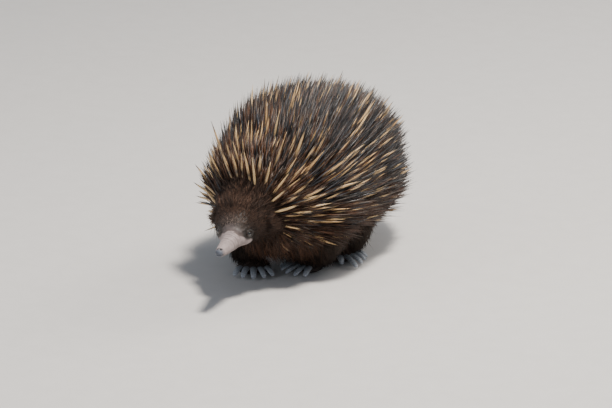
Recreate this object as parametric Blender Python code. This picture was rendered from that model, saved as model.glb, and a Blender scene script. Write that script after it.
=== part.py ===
"""A short-beaked echidna at life size, standing still in mid walk.

Metres, +Z up. The animal faces -Y and its left side is +X. Its feet stand on Z = 0, and the
origin is the middle of its footprint. Each part of the body is one object. Where a part grows
from another it is sunk into a socket of its own shape, GAP wider all round.
"""

import math
import random

import bmesh
import bpy
from mathutils import Matrix, Vector
from mathutils.bvhtree import BVHTree

SEED = 11

GAP = 0.0003  # clearance between parts that touch
UP = Vector((0, 0, 1))
SIDES = {"left": 1, "right": -1}

# Trunk, as the core of the coat: skin and the dense underfur between the spine roots
TORSO_FRONT = Vector((-0.011, -0.107, 0.103))
TORSO_MIDDLE = Vector((0.006, 0.030, 0.104))
TORSO_BACK = Vector((0.001, 0.162, 0.078))
TORSO_HALF_WIDTH = 0.083
TORSO_RISE = 0.080
TORSO_DROP = 0.078
TORSO_FULLNESS = 2.5

# Neck, a furred cone between the chest and the skull
NECK_FRONT = Vector((-0.0105, -0.120, 0.0870))
NECK_MIDDLE = Vector((-0.0100, -0.098, 0.099))
NECK_BACK = Vector((-0.0050, -0.050, 0.107))
NECK_SLIM = 0.028
NECK_BROAD = 0.062
NECK_BROADEST = 0.7  # of its length
NECK_FULLNESS = 2.6

# Head, from the root of the beak back into the neck
HEAD_FRONT = Vector((-0.0020, -0.1540, 0.0747))
HEAD_MIDDLE = Vector((-0.0078, -0.1300, 0.0755))
HEAD_BACK = Vector((-0.0125, -0.0850, 0.0970))
HEAD_SLIM = 0.0110
HEAD_BROAD = 0.0395
HEAD_BROADEST = 0.72  # of its length
HEAD_FLARE = 0.90
HEAD_DROP_SHARE = 0.58
HEAD_DROP_WITHIN = 0.15
HEAD_FULLNESS = 5

# Beak
BEAK_ROOT = Vector((-0.0040, -0.1410, 0.0777))
BEAK_MIDDLE = Vector((0.0035, -0.1742, 0.0766))
BEAK_TIP = Vector((0.0064, -0.2034, 0.0754))
BEAK_ROOT_RADIUS = 0.0130
BEAK_TIP_RADIUS = 0.0052
BEAK_FULLNESS = 5
NOSTRIL_RADIUS = 0.0010
NOSTRIL_SPREAD = 0.0021
NOSTRIL_BACK = 0.0055
MOUTH_REACH = 0.010
MOUTH_HALF_HEIGHT = 0.00045
MOUTH_BELOW_AXIS = 0.0014

# Eyes and ears, by their place along the head and their angle above its side
EYE_ALONG = 0.19
EYE_ANGLE = math.radians(21)
EYE_RADIUS = 0.0036
EYE_SUNK = 0.0016
LID_RADIUS = 0.0012
LID_STANDS_OUT = 1.6
LID_OVERLAP = 0.6
EAR_ALONG = 0.60
EAR_ANGLE = math.radians(4)
EAR_HALF_HEIGHT = 0.0090
EAR_HALF_WIDTH = 0.0038
EAR_HALF_DEPTH = 0.0042
EAR_SUNK = 0.001
EAR_SLIT_SHARES = (0.80, 0.42, 0.72)  # of its half depth, width and height
EAR_SLIT_OUT = 0.75  # of its half depth

# Tail, a blunt stub under the rump
TAIL_ROOT = Vector((0.0, 0.140, 0.064))
TAIL_MIDDLE = Vector((0.0, 0.160, 0.056))
TAIL_TIP = Vector((0.002, 0.176, 0.044))
TAIL_RADIUS = 0.015

# Limbs: where each foot stands, which way it points, and where its leg leaves the trunk
LIMBS = {
    "foreleg_right": {"foot": (-0.0320, -0.045), "heading": 28, "root": (-0.044, -0.030, 0.066)},
    "foreleg_left": {"foot": (0.0200, -0.010), "heading": -22, "root": (0.048, -0.014, 0.066)},
    "hindleg_right": {"foot": (-0.052, 0.122), "heading": -135, "root": (-0.046, 0.096, 0.066)},
    "hindleg_left": {"foot": (0.042, 0.044), "heading": 70, "root": (0.048, 0.066, 0.066)},
}
LEG_ROOT_RADIUS = 0.027
LEG_ANKLE_RADIUS = 0.0215
LEG_DEPTH_SHARE = 0.8
LEG_END_HEIGHT = 0.0135
LEG_FULLNESS = 5
LEG_SET_BACK = 0.25  # of the foot's length behind its middle
KNEE_OUT = 0.012
KNEE_HEIGHT = 0.040
FOOT_BACK = 0.0200
FOOT_REACH = 0.0150
FOOT_HALF_WIDTH = 0.0215
FOOT_HEEL_SHARE = 0.8
FOOT_BROADEST = 0.7  # of its length
FOOT_HEIGHT = 0.0165
FOOT_MIDDLE_HEIGHT = 0.0072
FOOT_FULLNESS = 2.6

# Claws, from the inner digit to the outer one
CLAW_SPREAD = math.radians(60)
CLAW_FAN = 1.25  # how far their roots spread, as a share of the foot's half width
CLAW_SET_FORWARD = 0.55  # of the foot's reach
CLAW_HALF_WIDTH = 0.0041
CLAW_HALF_DEPTH = 0.0025
CLAW_FULLNESS = 2.4
CLAW_TIP_SHARE = 0.62
CLAW_BEND_AT = 0.55
CLAW_ARCH = 1.15
CLAW_SUNK = 0.007
CLAW_ROOT_HEIGHT = 0.0085
CLAW_TIP_HEIGHT = 0.0028
FORE_CLAW_LENGTHS = (0.011, 0.015, 0.017, 0.016, 0.012)
HIND_CLAW_LENGTHS = (0.007, 0.024, 0.016, 0.011, 0.007)

# Uneven rows, for whatever grows all over a form
ROW_STEPS = 500
GIRTH_STEPS = 24
ROW_GUIDE_ANGLE = math.radians(60)
ROW_JITTER = 0.25
ROW_SLIP = 0.02

# Spines of the trunk. They run back from a point ahead of the face and stand off the coat,
# highest on the back and in the ruff round the face, where they are shorter, as they are at the
# edge of the belly.
SPINE_FOCUS = Vector((0.0, -0.200, 0.060))
SPINE_SPACING = 0.0130
SPINE_RADIUS = 0.0022
SPINE_PROFILE = {0.0: 0.8, 0.45: 1.0}
SPINE_SUNK = 0.007
SPINE_LENGTH = 0.050
SPINE_LENGTH_AT_FACE = 0.033
SPINE_LENGTH_AT_BELLY = 0.034
SPINE_LIFT_ON_BACK = math.radians(50)
SPINE_LIFT_ON_SIDE = math.radians(27)
SPINE_LIFT_IN_RUFF = math.radians(24)
SPINE_LIFT_STEP = math.radians(9)
SPINE_LIFT_TRIES = 5
SPINE_SWAY = math.radians(2.5)
SPINE_BELOW_SIDE = math.radians(36)
SPINE_CLEARANCE = 0.0012
SPINE_ROOT_MARGIN = 1.4  # of its radius, to the parts beside it
SPINE_UNEVENNESS = (0.84, 1.06)
BELLY_FADE = 0.5
FACE_CENTRE = Vector((-0.003, -0.118, 0.088))
RUFF_FLATNESS = 0.35
RUFF_RADIUS = 0.050
RUFF_FADE = 0.032

# Bristly locks along the edge of the belly
LOCK_SPACING = 0.0118
LOCK_LENGTH = 0.030
LOCK_HALF_WIDTH = 0.0034
LOCK_HALF_DEPTH = 0.0011
LOCK_PROFILE = {0.0: 0.7, 0.4: 1.0, 0.75: 0.65}
LOCK_SUNK = 0.006
LOCK_LIFT = math.radians(24)
LOCK_DROOP = 0.009
LOCK_UNEVENNESS = (0.85, 1.15)
LOCK_ROOT_MARGIN = 1.5  # of its half width
LOCK_FROM = math.radians(41)
LOCK_TO = math.radians(70)

# Sides round each form, and rings along it
TORSO_GRID = (24, 14)
NECK_GRID = (20, 10)
HEAD_GRID = (20, 12)
BEAK_GRID = (12, 10)
LEG_GRID = (12, 7)
FOOT_GRID = (14, 7)
CLAW_GRID = (6, 5)
TAIL_GRID = (10, 6)
SMALL_GRID = (10, 6)

COLOURS = {
    "coat": ((0.030, 0.020, 0.014), 0.85),
    "face_fur": ((0.055, 0.034, 0.024), 0.85),
    "beak_skin": ((0.30, 0.25, 0.24), 0.55),
    "eye": ((0.006, 0.005, 0.005), 0.10),
    "limb_fur": ((0.040, 0.028, 0.021), 0.85),
    "claw_horn": ((0.12, 0.12, 0.125), 0.45),
}


def bezier(first, middle, last):
    """A path that starts at first, is drawn towards middle and ends at last."""

    def path(t):
        return first * (1 - t) ** 2 + middle * (2 * t * (1 - t)) + last * t**2

    return path


def rounded(t, fullness):
    """Height of a superellipse over t from 0 to 1: round ends, fuller with a larger exponent."""
    return max(0.0, 1 - abs(2 * t - 1) ** fullness) ** (1 / fullness)


def blend(low, high, t):
    return low + (high - low) * min(1.0, max(0.0, t))


def on_ground(place, height=0.0):
    return Vector((place[0], place[1], height))


class Form:
    """A soft closed form swept along a path, with a width, a rise and a drop at each t."""

    def __init__(self, path, width, rise=None, drop=None, floor=None, facing=UP):
        self.path = path
        self.width = width
        self.rise = rise or width
        self.drop = drop or self.rise
        self.floor = floor
        self.facing = facing

    def frame(self, t):
        step = 0.01
        tangent = (self.path(min(1, t + step)) - self.path(max(0, t - step))).normalized()
        side = tangent.cross(self.facing).normalized()
        return tangent, side, side.cross(tangent)

    def point(self, t, angle, grow=0.0):
        """The surface point at t along the path and angle round it, from the side up."""
        tangent, side, up = self.frame(t)
        across, upward = math.cos(angle), math.sin(angle)
        reach = self.rise(t) if upward > 0 else self.drop(t)
        spot = self.path(t) + side * across * (self.width(t) + grow)
        spot += up * upward * (reach + grow) + tangent * (2 * t - 1) * grow
        return self.above_floor(spot, grow)

    def pole(self, t, grow):
        spot = self.path(t) + self.frame(t)[0] * (2 * t - 1) * grow
        return self.above_floor(spot, grow)

    def above_floor(self, spot, grow):
        if self.floor is not None:
            spot.z = max(spot.z, self.floor - grow)
        return spot

    def normal(self, t, angle):
        step = 0.004
        along = self.point(t + step, angle) - self.point(t - step, angle)
        around = self.point(t, angle + step) - self.point(t, angle - step)
        return along.cross(around).normalized()

    def mesh(self, name, grid, grow=0.0):
        segments, rings = grid
        bm = bmesh.new()
        turn = Matrix.Rotation(math.radians(90), 4, "X")
        bmesh.ops.create_uvsphere(bm, u_segments=segments, v_segments=rings, radius=1, matrix=turn)
        for vert in bm.verts:
            x, y, z = vert.co
            t = (1 + y) / 2
            if math.hypot(x, z) < 1e-6:
                vert.co = self.pole(round(t), grow)
            else:
                vert.co = self.point(t, math.atan2(z, x), grow)
        return finished(name, bm)


def finished(name, bm, flat_sided=False):
    """A mesh object made of bm, with its faces pointing out, in triangles unless flat_sided."""
    if not flat_sided:
        bmesh.ops.triangulate(bm, faces=bm.faces)
    bmesh.ops.recalc_face_normals(bm, faces=bm.faces)
    mesh = bpy.data.meshes.new(name)
    bm.to_mesh(mesh)
    bm.free()
    return bpy.data.objects.new(name, mesh)


def ellipsoid(name, centre, axes, sizes, grid=SMALL_GRID):
    """A ball at centre, stretched to sizes along three axes at right angles."""
    segments, rings = grid
    bm = bmesh.new()
    bmesh.ops.create_uvsphere(bm, u_segments=segments, v_segments=rings, radius=1)
    for vert in bm.verts:
        spot = Vector(centre)
        for axis, size, share in zip(axes, sizes, vert.co.copy()):
            spot += axis * size * share
        vert.co = spot
    return finished(name, bm)


def material_named(slot):
    material = bpy.data.materials.get(slot)
    if material is None:
        colour, roughness = COLOURS[slot]
        material = bpy.data.materials.new(slot)
        material.use_nodes = True
        shader = material.node_tree.nodes["Principled BSDF"]
        shader.inputs["Base Color"].default_value = (*colour, 1)
        shader.inputs["Roughness"].default_value = roughness
        shader.inputs["Metallic"].default_value = 0
    return material


def applied(base, pieces, operation):
    """Applies one Boolean between base and a collection of pieces, then removes the pieces."""
    scene_objects = bpy.context.scene.collection.objects
    helpers = bpy.data.collections.new("helpers")
    bpy.context.scene.collection.children.link(helpers)
    for piece in pieces:
        helpers.objects.link(piece)
    scene_objects.link(base)
    boolean = base.modifiers.new(operation.lower(), "BOOLEAN")
    boolean.operation = operation
    boolean.operand_type = "COLLECTION"
    boolean.collection = helpers
    graph = bpy.context.evaluated_depsgraph_get()
    result = bpy.data.meshes.new_from_object(base.evaluated_get(graph))
    base.modifiers.clear()
    base.data = result
    scene_objects.unlink(base)
    for piece in pieces:
        bpy.data.objects.remove(piece)
    bpy.data.collections.remove(helpers)


def joined(base, pieces):
    applied(base, pieces, "UNION")


def cut(base, cutters):
    """Cuts one cutter after another, because they may cross each other."""
    for cutter in cutters:
        applied(base, [cutter], "DIFFERENCE")


def connected(bm):
    """The closed surfaces of bm, smallest first, each as a list of faces."""
    unseen = set(bm.faces)
    surfaces = []
    while unseen:
        queue = [unseen.pop()]
        surface = []
        while queue:
            face = queue.pop()
            surface.append(face)
            for edge in face.edges:
                for other in edge.link_faces:
                    if other in unseen:
                        unseen.remove(other)
                        queue.append(other)
        surfaces.append(surface)
    return sorted(surfaces, key=lambda faces: sum(face.calc_area() for face in faces))


def keep_largest(obj):
    """Drops loose scraps and sealed hollows: only the largest closed surface stays."""
    bm = bmesh.new()
    bm.from_mesh(obj.data)
    scraps = [face for surface in connected(bm)[:-1] for face in surface]
    bmesh.ops.delete(bm, geom=scraps, context="FACES")
    bmesh.ops.triangulate(bm, faces=bm.faces)
    bm.to_mesh(obj.data)
    bm.free()


def placed(obj, slot, parts):
    """Puts a finished node among the parts, with its material."""
    keep_largest(obj)
    obj.data.materials.clear()
    obj.data.materials.append(material_named(slot))
    obj.data.shade_smooth()
    obj.data.set_sharp_from_angle(angle=math.radians(40))
    parts.objects.link(obj)


def torso_form():
    def share(t):
        return rounded(t, TORSO_FULLNESS)

    return Form(
        bezier(TORSO_FRONT, TORSO_MIDDLE, TORSO_BACK),
        lambda t: share(t) * TORSO_HALF_WIDTH,
        lambda t: share(t) * TORSO_RISE,
        lambda t: share(t) * TORSO_DROP,
    )


def neck_form():
    def radius(t):
        return rounded(t, NECK_FULLNESS) * blend(NECK_SLIM, NECK_BROAD, t / NECK_BROADEST)

    return Form(bezier(NECK_FRONT, NECK_MIDDLE, NECK_BACK), radius)


def head_form():
    def radius(t):
        flare = (t / HEAD_BROADEST) ** HEAD_FLARE
        return rounded(t, HEAD_FULLNESS) * blend(HEAD_SLIM, HEAD_BROAD, flare)

    return Form(
        bezier(HEAD_FRONT, HEAD_MIDDLE, HEAD_BACK),
        radius,
        radius,
        lambda t: radius(t) * blend(1, HEAD_DROP_SHARE, t / HEAD_DROP_WITHIN),
    )


def beak_form():
    def radius(t):
        return rounded(t, BEAK_FULLNESS) * blend(BEAK_ROOT_RADIUS, BEAK_TIP_RADIUS, t)

    return Form(bezier(BEAK_ROOT, BEAK_MIDDLE, BEAK_TIP), radius)


def body_surface(form):
    """A search tree over a form's surface."""
    helper = form.mesh("helper", TORSO_GRID)
    bm = bmesh.new()
    bm.from_mesh(helper.data)
    tree = BVHTree.FromBMesh(bm)
    bm.free()
    bpy.data.objects.remove(helper)
    return tree


def is_clear(trees, spot, margin):
    """True where spot is above the floor, outside every tree's body and margin away from it."""
    if spot.z < margin + SPINE_CLEARANCE:
        return False
    for tree in trees:
        place, normal, _, distance = tree.find_nearest(spot)
        if distance < margin or (spot - place).dot(normal) < 0:
            return False
    return True


def girth_between(form, t, first_angle, last_angle):
    """The length round a form at t, from one angle to another."""
    angles = [blend(first_angle, last_angle, step / GIRTH_STEPS) for step in range(GIRTH_STEPS + 1)]
    spots = [form.point(t, angle) for angle in angles]
    return sum((after - before).length for before, after in zip(spots, spots[1:]))


def rows(form, spacing, first_angle, last_angle, draw):
    """Uneven rows of places over a form, about spacing apart, between two angles round it."""
    travelled = spacing
    before = form.point(0, ROW_GUIDE_ANGLE)
    for step in range(1, ROW_STEPS):
        t = step / ROW_STEPS
        after = form.point(t, ROW_GUIDE_ANGLE)
        travelled += (after - before).length
        before = after
        if travelled < spacing:
            continue
        travelled = 0.0
        count = max(1, round(girth_between(form, t, first_angle, last_angle) / spacing))
        phase = draw.random()
        for number in range(count):
            share = (number + phase + draw.uniform(-ROW_JITTER, ROW_JITTER)) / count
            along = t + draw.uniform(-ROW_JITTER, ROW_JITTER) * ROW_SLIP
            if 0 < along < 1:
                yield along, first_angle + (last_angle - first_angle) * share


def thorn(root, direction, facing, length, sizes, profile, sunk, droop=0.0):
    """A three-sided spine or lock, drawn to a point, with a ring at each share in profile.

    sizes are its half width and half depth, and profile gives the share of them at each ring.
    facing is the way its broad side looks, and droop is how far its tip bends away from it.
    """
    bm = bmesh.new()
    lifted = Matrix.Translation((0, 0, 0.5))
    bmesh.ops.create_cone(
        bm, cap_ends=True, segments=3, radius1=1, radius2=0, depth=1, matrix=lifted
    )
    for share in list(profile)[1:]:
        geometry = bm.verts[:] + bm.edges[:] + bm.faces[:]
        bmesh.ops.bisect_plane(bm, geom=geometry, plane_co=(0, 0, share), plane_no=(0, 0, 1))
    across = direction.cross(facing).normalized()
    outward = across.cross(direction)
    for vert in bm.verts:
        x, y, share = vert.co
        nearest = min(profile, key=lambda ring: abs(ring - share))
        swell = 0 if share > 0.999 else profile[nearest] / (1 - nearest)
        spot = root + direction * (share * (length + sunk) - sunk) - outward * droop * share**2
        spot += across * x * swell * sizes[0] + outward * y * swell * sizes[1]
        vert.co = spot
    return finished("thorn", bm, flat_sided=True)


def flow_at(spot, normal):
    """The way the coat runs at a place on the trunk, along its surface."""
    away = spot - SPINE_FOCUS
    return (away - normal * away.dot(normal)).normalized()


def outward_at(form, along, angle):
    root = form.point(along, angle)
    normal = form.normal(along, angle)
    if normal.dot(root - form.path(along)) < 0:
        normal.negate()
    return root, normal


def path_is_clear(trees, root, direction, length, margin):
    stations = (root + direction * length * share for share in (0.15, 0.35, 0.55, 0.75, 1))
    return all(is_clear(trees, spot, margin) for spot in stations)


def ruff_share(root):
    """1 in the ring of spines round the face, less further back, 0 on the rest of the trunk."""
    away = root - FACE_CENTRE
    away.y *= RUFF_FLATNESS
    return 1 - blend(0, 1, (away.length - RUFF_RADIUS) / RUFF_FADE)


def spine_length(root, angle, draw):
    """Shorter beside the face and at the edge of the belly, and a little uneven everywhere."""
    from_belly = (math.sin(angle) + math.sin(SPINE_BELOW_SIDE)) / BELLY_FADE
    length = min(
        blend(SPINE_LENGTH, SPINE_LENGTH_AT_FACE, ruff_share(root)),
        blend(SPINE_LENGTH_AT_BELLY, SPINE_LENGTH, from_belly),
    )
    return length * draw.uniform(*SPINE_UNEVENNESS)


def trunk_spines(form, trees, draw):
    """Spines all over the back and flanks, each clear of the other parts of the body."""
    spines = []
    first, last = -SPINE_BELOW_SIDE, math.pi + SPINE_BELOW_SIDE
    for along, angle in rows(form, SPINE_SPACING, first, last, draw):
        root, normal = outward_at(form, along, angle)
        if not is_clear(trees, root, SPINE_RADIUS * SPINE_ROOT_MARGIN):
            continue
        flow = flow_at(root, normal)
        flow = (flow + normal.cross(flow) * math.tan(draw.gauss(0, SPINE_SWAY))).normalized()
        length = spine_length(root, angle, draw)
        lift = blend(SPINE_LIFT_ON_SIDE, SPINE_LIFT_ON_BACK, normal.z)
        lift += SPINE_LIFT_IN_RUFF * ruff_share(root) + draw.gauss(0, SPINE_SWAY)
        for attempt in range(SPINE_LIFT_TRIES):
            raised = lift + attempt * SPINE_LIFT_STEP
            direction = flow * math.cos(raised) + normal * math.sin(raised)
            if path_is_clear(trees, root, direction, length, SPINE_RADIUS + SPINE_CLEARANCE):
                sizes = (SPINE_RADIUS, SPINE_RADIUS)
                spines.append(
                    thorn(root, direction, normal, length, sizes, SPINE_PROFILE, SPINE_SUNK)
                )
                break
    return spines


def flank_locks(form, trees, draw):
    """Flat locks of bristly fur that hang back and down along the edge of the belly."""
    locks = []
    for first, last in ((-LOCK_TO, -LOCK_FROM), (math.pi + LOCK_FROM, math.pi + LOCK_TO)):
        for along, angle in rows(form, LOCK_SPACING, first, last, draw):
            root, normal = outward_at(form, along, angle)
            if not is_clear(trees, root, LOCK_HALF_WIDTH * LOCK_ROOT_MARGIN):
                continue
            lift = LOCK_LIFT + draw.gauss(0, SPINE_SWAY)
            direction = flow_at(root, normal) * math.cos(lift) + normal * math.sin(lift)
            length = LOCK_LENGTH * draw.uniform(*LOCK_UNEVENNESS)
            if path_is_clear(trees, root, direction, length, LOCK_HALF_WIDTH + SPINE_CLEARANCE):
                sizes = (LOCK_HALF_WIDTH, LOCK_HALF_DEPTH)
                locks.append(
                    thorn(root, direction, normal, length, sizes, LOCK_PROFILE, LOCK_SUNK, LOCK_DROOP)
                )
    return locks


def tail_form():
    return Form(
        bezier(TAIL_ROOT, TAIL_MIDDLE, TAIL_TIP), lambda t: rounded(t, 2) * TAIL_RADIUS
    )


def side_angle(sign, angle):
    """The angle round the head for a feature on the left (1) or the right (-1)."""
    return angle if sign > 0 else math.pi - angle


def on_head(sign, along, angle):
    """Point, outward, backward and upward directions of a place on the side of the head."""
    head = head_form()
    turned = side_angle(sign, angle)
    surface = head.point(along, turned)
    outward = (surface - head.path(along)).normalized()
    backward = (head.point(along + 0.02, turned) - head.point(along - 0.02, turned)).normalized()
    outward = (outward - backward * outward.dot(backward)).normalized()
    return surface, outward, backward, outward.cross(backward)


def eye_centre(sign):
    surface, outward = on_head(sign, EYE_ALONG, EYE_ANGLE)[:2]
    return surface - outward * EYE_SUNK


def eye_ball(name, sign, grow=0.0):
    radius = EYE_RADIUS + grow
    axes = on_head(sign, EYE_ALONG, EYE_ANGLE)[1:]
    return ellipsoid(name, eye_centre(sign), axes, (radius, radius, radius))


def eye_rim(sign):
    """The lids: a ring of skin that stands round the eye."""
    surface, outward, backward, upward = on_head(sign, EYE_ALONG, EYE_ANGLE)
    rim = EYE_RADIUS + LID_RADIUS * LID_OVERLAP
    size = (LID_RADIUS * LID_STANDS_OUT, rim + LID_RADIUS, rim)
    return ellipsoid("lids", surface, (outward, backward, upward), size)


def ear_shell(name, sign, grow=0.0):
    surface, outward, backward, upward = on_head(sign, EAR_ALONG, EAR_ANGLE)
    sizes = (EAR_HALF_DEPTH + grow, EAR_HALF_WIDTH + grow, EAR_HALF_HEIGHT + grow)
    centre = surface - outward * EAR_SUNK
    return ellipsoid(name, centre, (outward, backward, upward), sizes)


def ear(name, sign, parts):
    """A low rim of cartilage round an upright slit."""
    surface, outward, backward, upward = on_head(sign, EAR_ALONG, EAR_ANGLE)
    shell = ear_shell(name, sign)
    halves = (EAR_HALF_DEPTH, EAR_HALF_WIDTH, EAR_HALF_HEIGHT)
    sizes = [half * share for half, share in zip(halves, EAR_SLIT_SHARES)]
    centre = surface + outward * EAR_HALF_DEPTH * EAR_SLIT_OUT
    slit = ellipsoid("slit", centre, (outward, backward, upward), sizes)
    cut(shell, [slit])
    placed(shell, "face_fur", parts)


def beak(parts):
    """The beak, with two nostrils on top near its tip and the slit of the mouth below them."""
    form = beak_form()
    body = form.mesh("beak", BEAK_GRID)
    tangent, side, up = form.frame(1)
    cutters = []
    for sign in SIDES.values():
        centre = BEAK_TIP - tangent * NOSTRIL_BACK + side * sign * NOSTRIL_SPREAD
        centre += up * BEAK_TIP_RADIUS
        sizes = (NOSTRIL_RADIUS * 1.7, NOSTRIL_RADIUS, NOSTRIL_RADIUS * 1.4)
        cutters.append(ellipsoid("nostril", centre, (tangent, side, up), sizes, (6, 4)))
    mouth_sizes = (MOUTH_REACH, BEAK_TIP_RADIUS * 1.6, MOUTH_HALF_HEIGHT)
    mouth_centre = BEAK_TIP - up * MOUTH_BELOW_AXIS
    cutters.append(ellipsoid("mouth", mouth_centre, (tangent, side, up), mouth_sizes, (8, 4)))
    cut(body, cutters)
    placed(body, "beak_skin", parts)


def head(parts):
    """The skull and its skin, with the lids, and with sockets for the beak, eyes and ears."""
    body = head_form().mesh("head", HEAD_GRID)
    joined(body, [eye_rim(sign) for sign in SIDES.values()])
    sockets = [beak_form().mesh("socket", BEAK_GRID, GAP)]
    for sign in SIDES.values():
        sockets.append(eye_ball("socket", sign, GAP))
        sockets.append(ear_shell("socket", sign, GAP))
    cut(body, sockets)
    placed(body, "face_fur", parts)


def heading_of(limb):
    angle = math.radians(limb["heading"])
    return Vector((math.sin(angle), -math.cos(angle), 0))


def foot_form(limb):
    heading = heading_of(limb)
    heel = on_ground(limb["foot"], FOOT_MIDDLE_HEIGHT) - heading * FOOT_BACK
    toes = on_ground(limb["foot"], FOOT_MIDDLE_HEIGHT) + heading * FOOT_REACH

    def share(t):
        return rounded(t, FOOT_FULLNESS)

    return Form(
        lambda t: heel.lerp(toes, t),
        lambda t: share(t) * FOOT_HALF_WIDTH * blend(FOOT_HEEL_SHARE, 1, t / FOOT_BROADEST),
        lambda t: share(t) * (FOOT_HEIGHT - FOOT_MIDDLE_HEIGHT),
        lambda t: share(t) * FOOT_HEIGHT,
        floor=0.0,
    )


def leg_form(limb):
    root = Vector(limb["root"])
    ankle = on_ground(limb["foot"], LEG_END_HEIGHT) - heading_of(limb) * FOOT_BACK * LEG_SET_BACK
    knee = root.lerp(ankle, 0.5)
    knee.x += KNEE_OUT * (1 if root.x > 0 else -1)
    knee.z = KNEE_HEIGHT

    def radius(t):
        return rounded(t, LEG_FULLNESS) * blend(LEG_ROOT_RADIUS, LEG_ANKLE_RADIUS, t)

    def depth(t):
        return radius(t) * LEG_DEPTH_SHARE

    return Form(bezier(root, knee, ankle), radius, depth, facing=heading_of(limb))


def claw_form(limb, digit, lengths):
    """One claw of five, fanned about the foot's heading, bent down to just above the ground."""
    spread = CLAW_SPREAD * (digit / (len(lengths) - 1) - 0.5)
    heading = heading_of(limb)
    outward = Matrix.Rotation(spread, 3, "Z") @ heading
    across = heading.cross(UP)
    root = on_ground(limb["foot"], CLAW_ROOT_HEIGHT) + heading * FOOT_REACH * CLAW_SET_FORWARD
    root -= across * math.sin(spread) * FOOT_HALF_WIDTH * CLAW_FAN
    root -= heading * (1 - math.cos(spread)) * FOOT_REACH
    tip = root + outward * (CLAW_SUNK + lengths[digit])
    middle = root.lerp(tip, CLAW_BEND_AT)
    tip.z = CLAW_TIP_HEIGHT
    middle.z = CLAW_ROOT_HEIGHT * CLAW_ARCH

    def taper(t):
        return rounded(t, CLAW_FULLNESS) * blend(1, CLAW_TIP_SHARE, t)

    return Form(
        bezier(root, middle, tip),
        lambda t: taper(t) * CLAW_HALF_WIDTH,
        lambda t: taper(t) * CLAW_HALF_DEPTH,
    )


def limb_nodes(name, limb, parts):
    """A leg, its foot, and the foot's five claws, each in a socket of the part before it."""
    fore = name.startswith("fore")
    lengths = FORE_CLAW_LENGTHS if fore else HIND_CLAW_LENGTHS
    foot_name = name.replace("leg", "foot")
    claws = [claw_form(limb, digit, lengths) for digit in range(len(lengths))]
    foot = foot_form(limb).mesh(foot_name, FOOT_GRID)
    cut(foot, [claw.mesh("socket", CLAW_GRID, GAP) for claw in claws])
    leg = leg_form(limb).mesh(name, LEG_GRID)
    cut(leg, [foot_form(limb).mesh("socket", FOOT_GRID, GAP)])
    placed(leg, "limb_fur", parts)
    placed(foot, "limb_fur", parts)
    for digit, claw in enumerate(claws, start=1):
        placed(claw.mesh(f"{foot_name}_claw_{digit}", CLAW_GRID), "claw_horn", parts)


def main():
    for obj in list(bpy.data.objects):
        bpy.data.objects.remove(obj)
    parts = bpy.data.collections.new("echidna")
    bpy.context.scene.collection.children.link(parts)

    draw = random.Random(SEED)
    others = [neck_form(), head_form(), tail_form()]
    others += [leg_form(limb) for limb in LIMBS.values()]
    others += [foot_form(limb) for limb in LIMBS.values()]
    trees = [body_surface(form) for form in others]
    torso = torso_form().mesh("torso", TORSO_GRID)
    spines = trunk_spines(torso_form(), trees, draw)
    locks = flank_locks(torso_form(), trees, draw)
    joined(torso, spines + locks)
    sockets = [neck_form().mesh("socket", NECK_GRID, GAP)]
    sockets.append(tail_form().mesh("socket", TAIL_GRID, GAP))
    sockets += [leg_form(limb).mesh("socket", LEG_GRID, GAP) for limb in LIMBS.values()]
    cut(torso, sockets)
    placed(torso, "coat", parts)

    neck = neck_form().mesh("neck", NECK_GRID)
    cut(neck, [head_form().mesh("socket", HEAD_GRID, GAP)])
    placed(neck, "face_fur", parts)

    head(parts)
    beak(parts)
    for side, sign in SIDES.items():
        placed(eye_ball(f"eye_{side}", sign), "eye", parts)
        ear(f"ear_{side}", sign, parts)
    placed(tail_form().mesh("tail", TAIL_GRID), "coat", parts)
    for name, limb in LIMBS.items():
        limb_nodes(name, limb, parts)


main()
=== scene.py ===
"""The looks of a short-beaked echidna at life size, walking over a plain floor.

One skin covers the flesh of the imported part, and spines, bristles and fur grow on it as joined
meshes. Metres, +Z up. The animal faces -Y and its left side is +X, as in the part.
"""

import math
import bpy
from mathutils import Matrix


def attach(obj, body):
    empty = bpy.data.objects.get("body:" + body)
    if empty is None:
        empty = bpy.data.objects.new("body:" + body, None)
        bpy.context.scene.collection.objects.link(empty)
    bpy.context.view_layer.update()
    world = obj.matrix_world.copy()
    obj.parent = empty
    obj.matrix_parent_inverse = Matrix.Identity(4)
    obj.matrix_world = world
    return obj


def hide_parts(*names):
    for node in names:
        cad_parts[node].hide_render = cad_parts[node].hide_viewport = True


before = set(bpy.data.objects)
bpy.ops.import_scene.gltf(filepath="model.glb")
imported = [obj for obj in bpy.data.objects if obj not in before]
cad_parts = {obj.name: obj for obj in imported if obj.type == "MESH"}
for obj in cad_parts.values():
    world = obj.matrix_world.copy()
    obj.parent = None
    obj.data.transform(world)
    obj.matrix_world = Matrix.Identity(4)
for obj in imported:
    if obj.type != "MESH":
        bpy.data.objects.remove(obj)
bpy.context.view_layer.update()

from types import SimpleNamespace

import bmesh
import bpy
import numpy as np
from mathutils import Vector

SEED = 5
TINY = 1e-9
UP = np.array((0.0, 0.0, 1.0))
SIDES = {"left": 1, "right": -1}

# The photograph's view: its own size, and where the origin falls in it
PHOTO_WIDTH, PHOTO_HEIGHT = 612, 408
PIXELS_PER_METRE = 850
ORIGIN_AT_PIXEL = (295.3, 264.8)
VIEW_AZIMUTH = math.radians(27)
VIEW_ELEVATION = math.radians(18)
VIEW_DISTANCE = 4.5
SENSOR_WIDTH = 36

# Forms of the body, the same as the part's
TORSO_FRONT = (-0.011, -0.107, 0.103)
TORSO_MIDDLE = (0.006, 0.030, 0.104)
TORSO_BACK = (0.001, 0.162, 0.078)
TORSO_HALF_WIDTH = 0.083
TORSO_RISE = 0.080
TORSO_DROP = 0.078
TORSO_FULLNESS = 2.5

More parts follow.
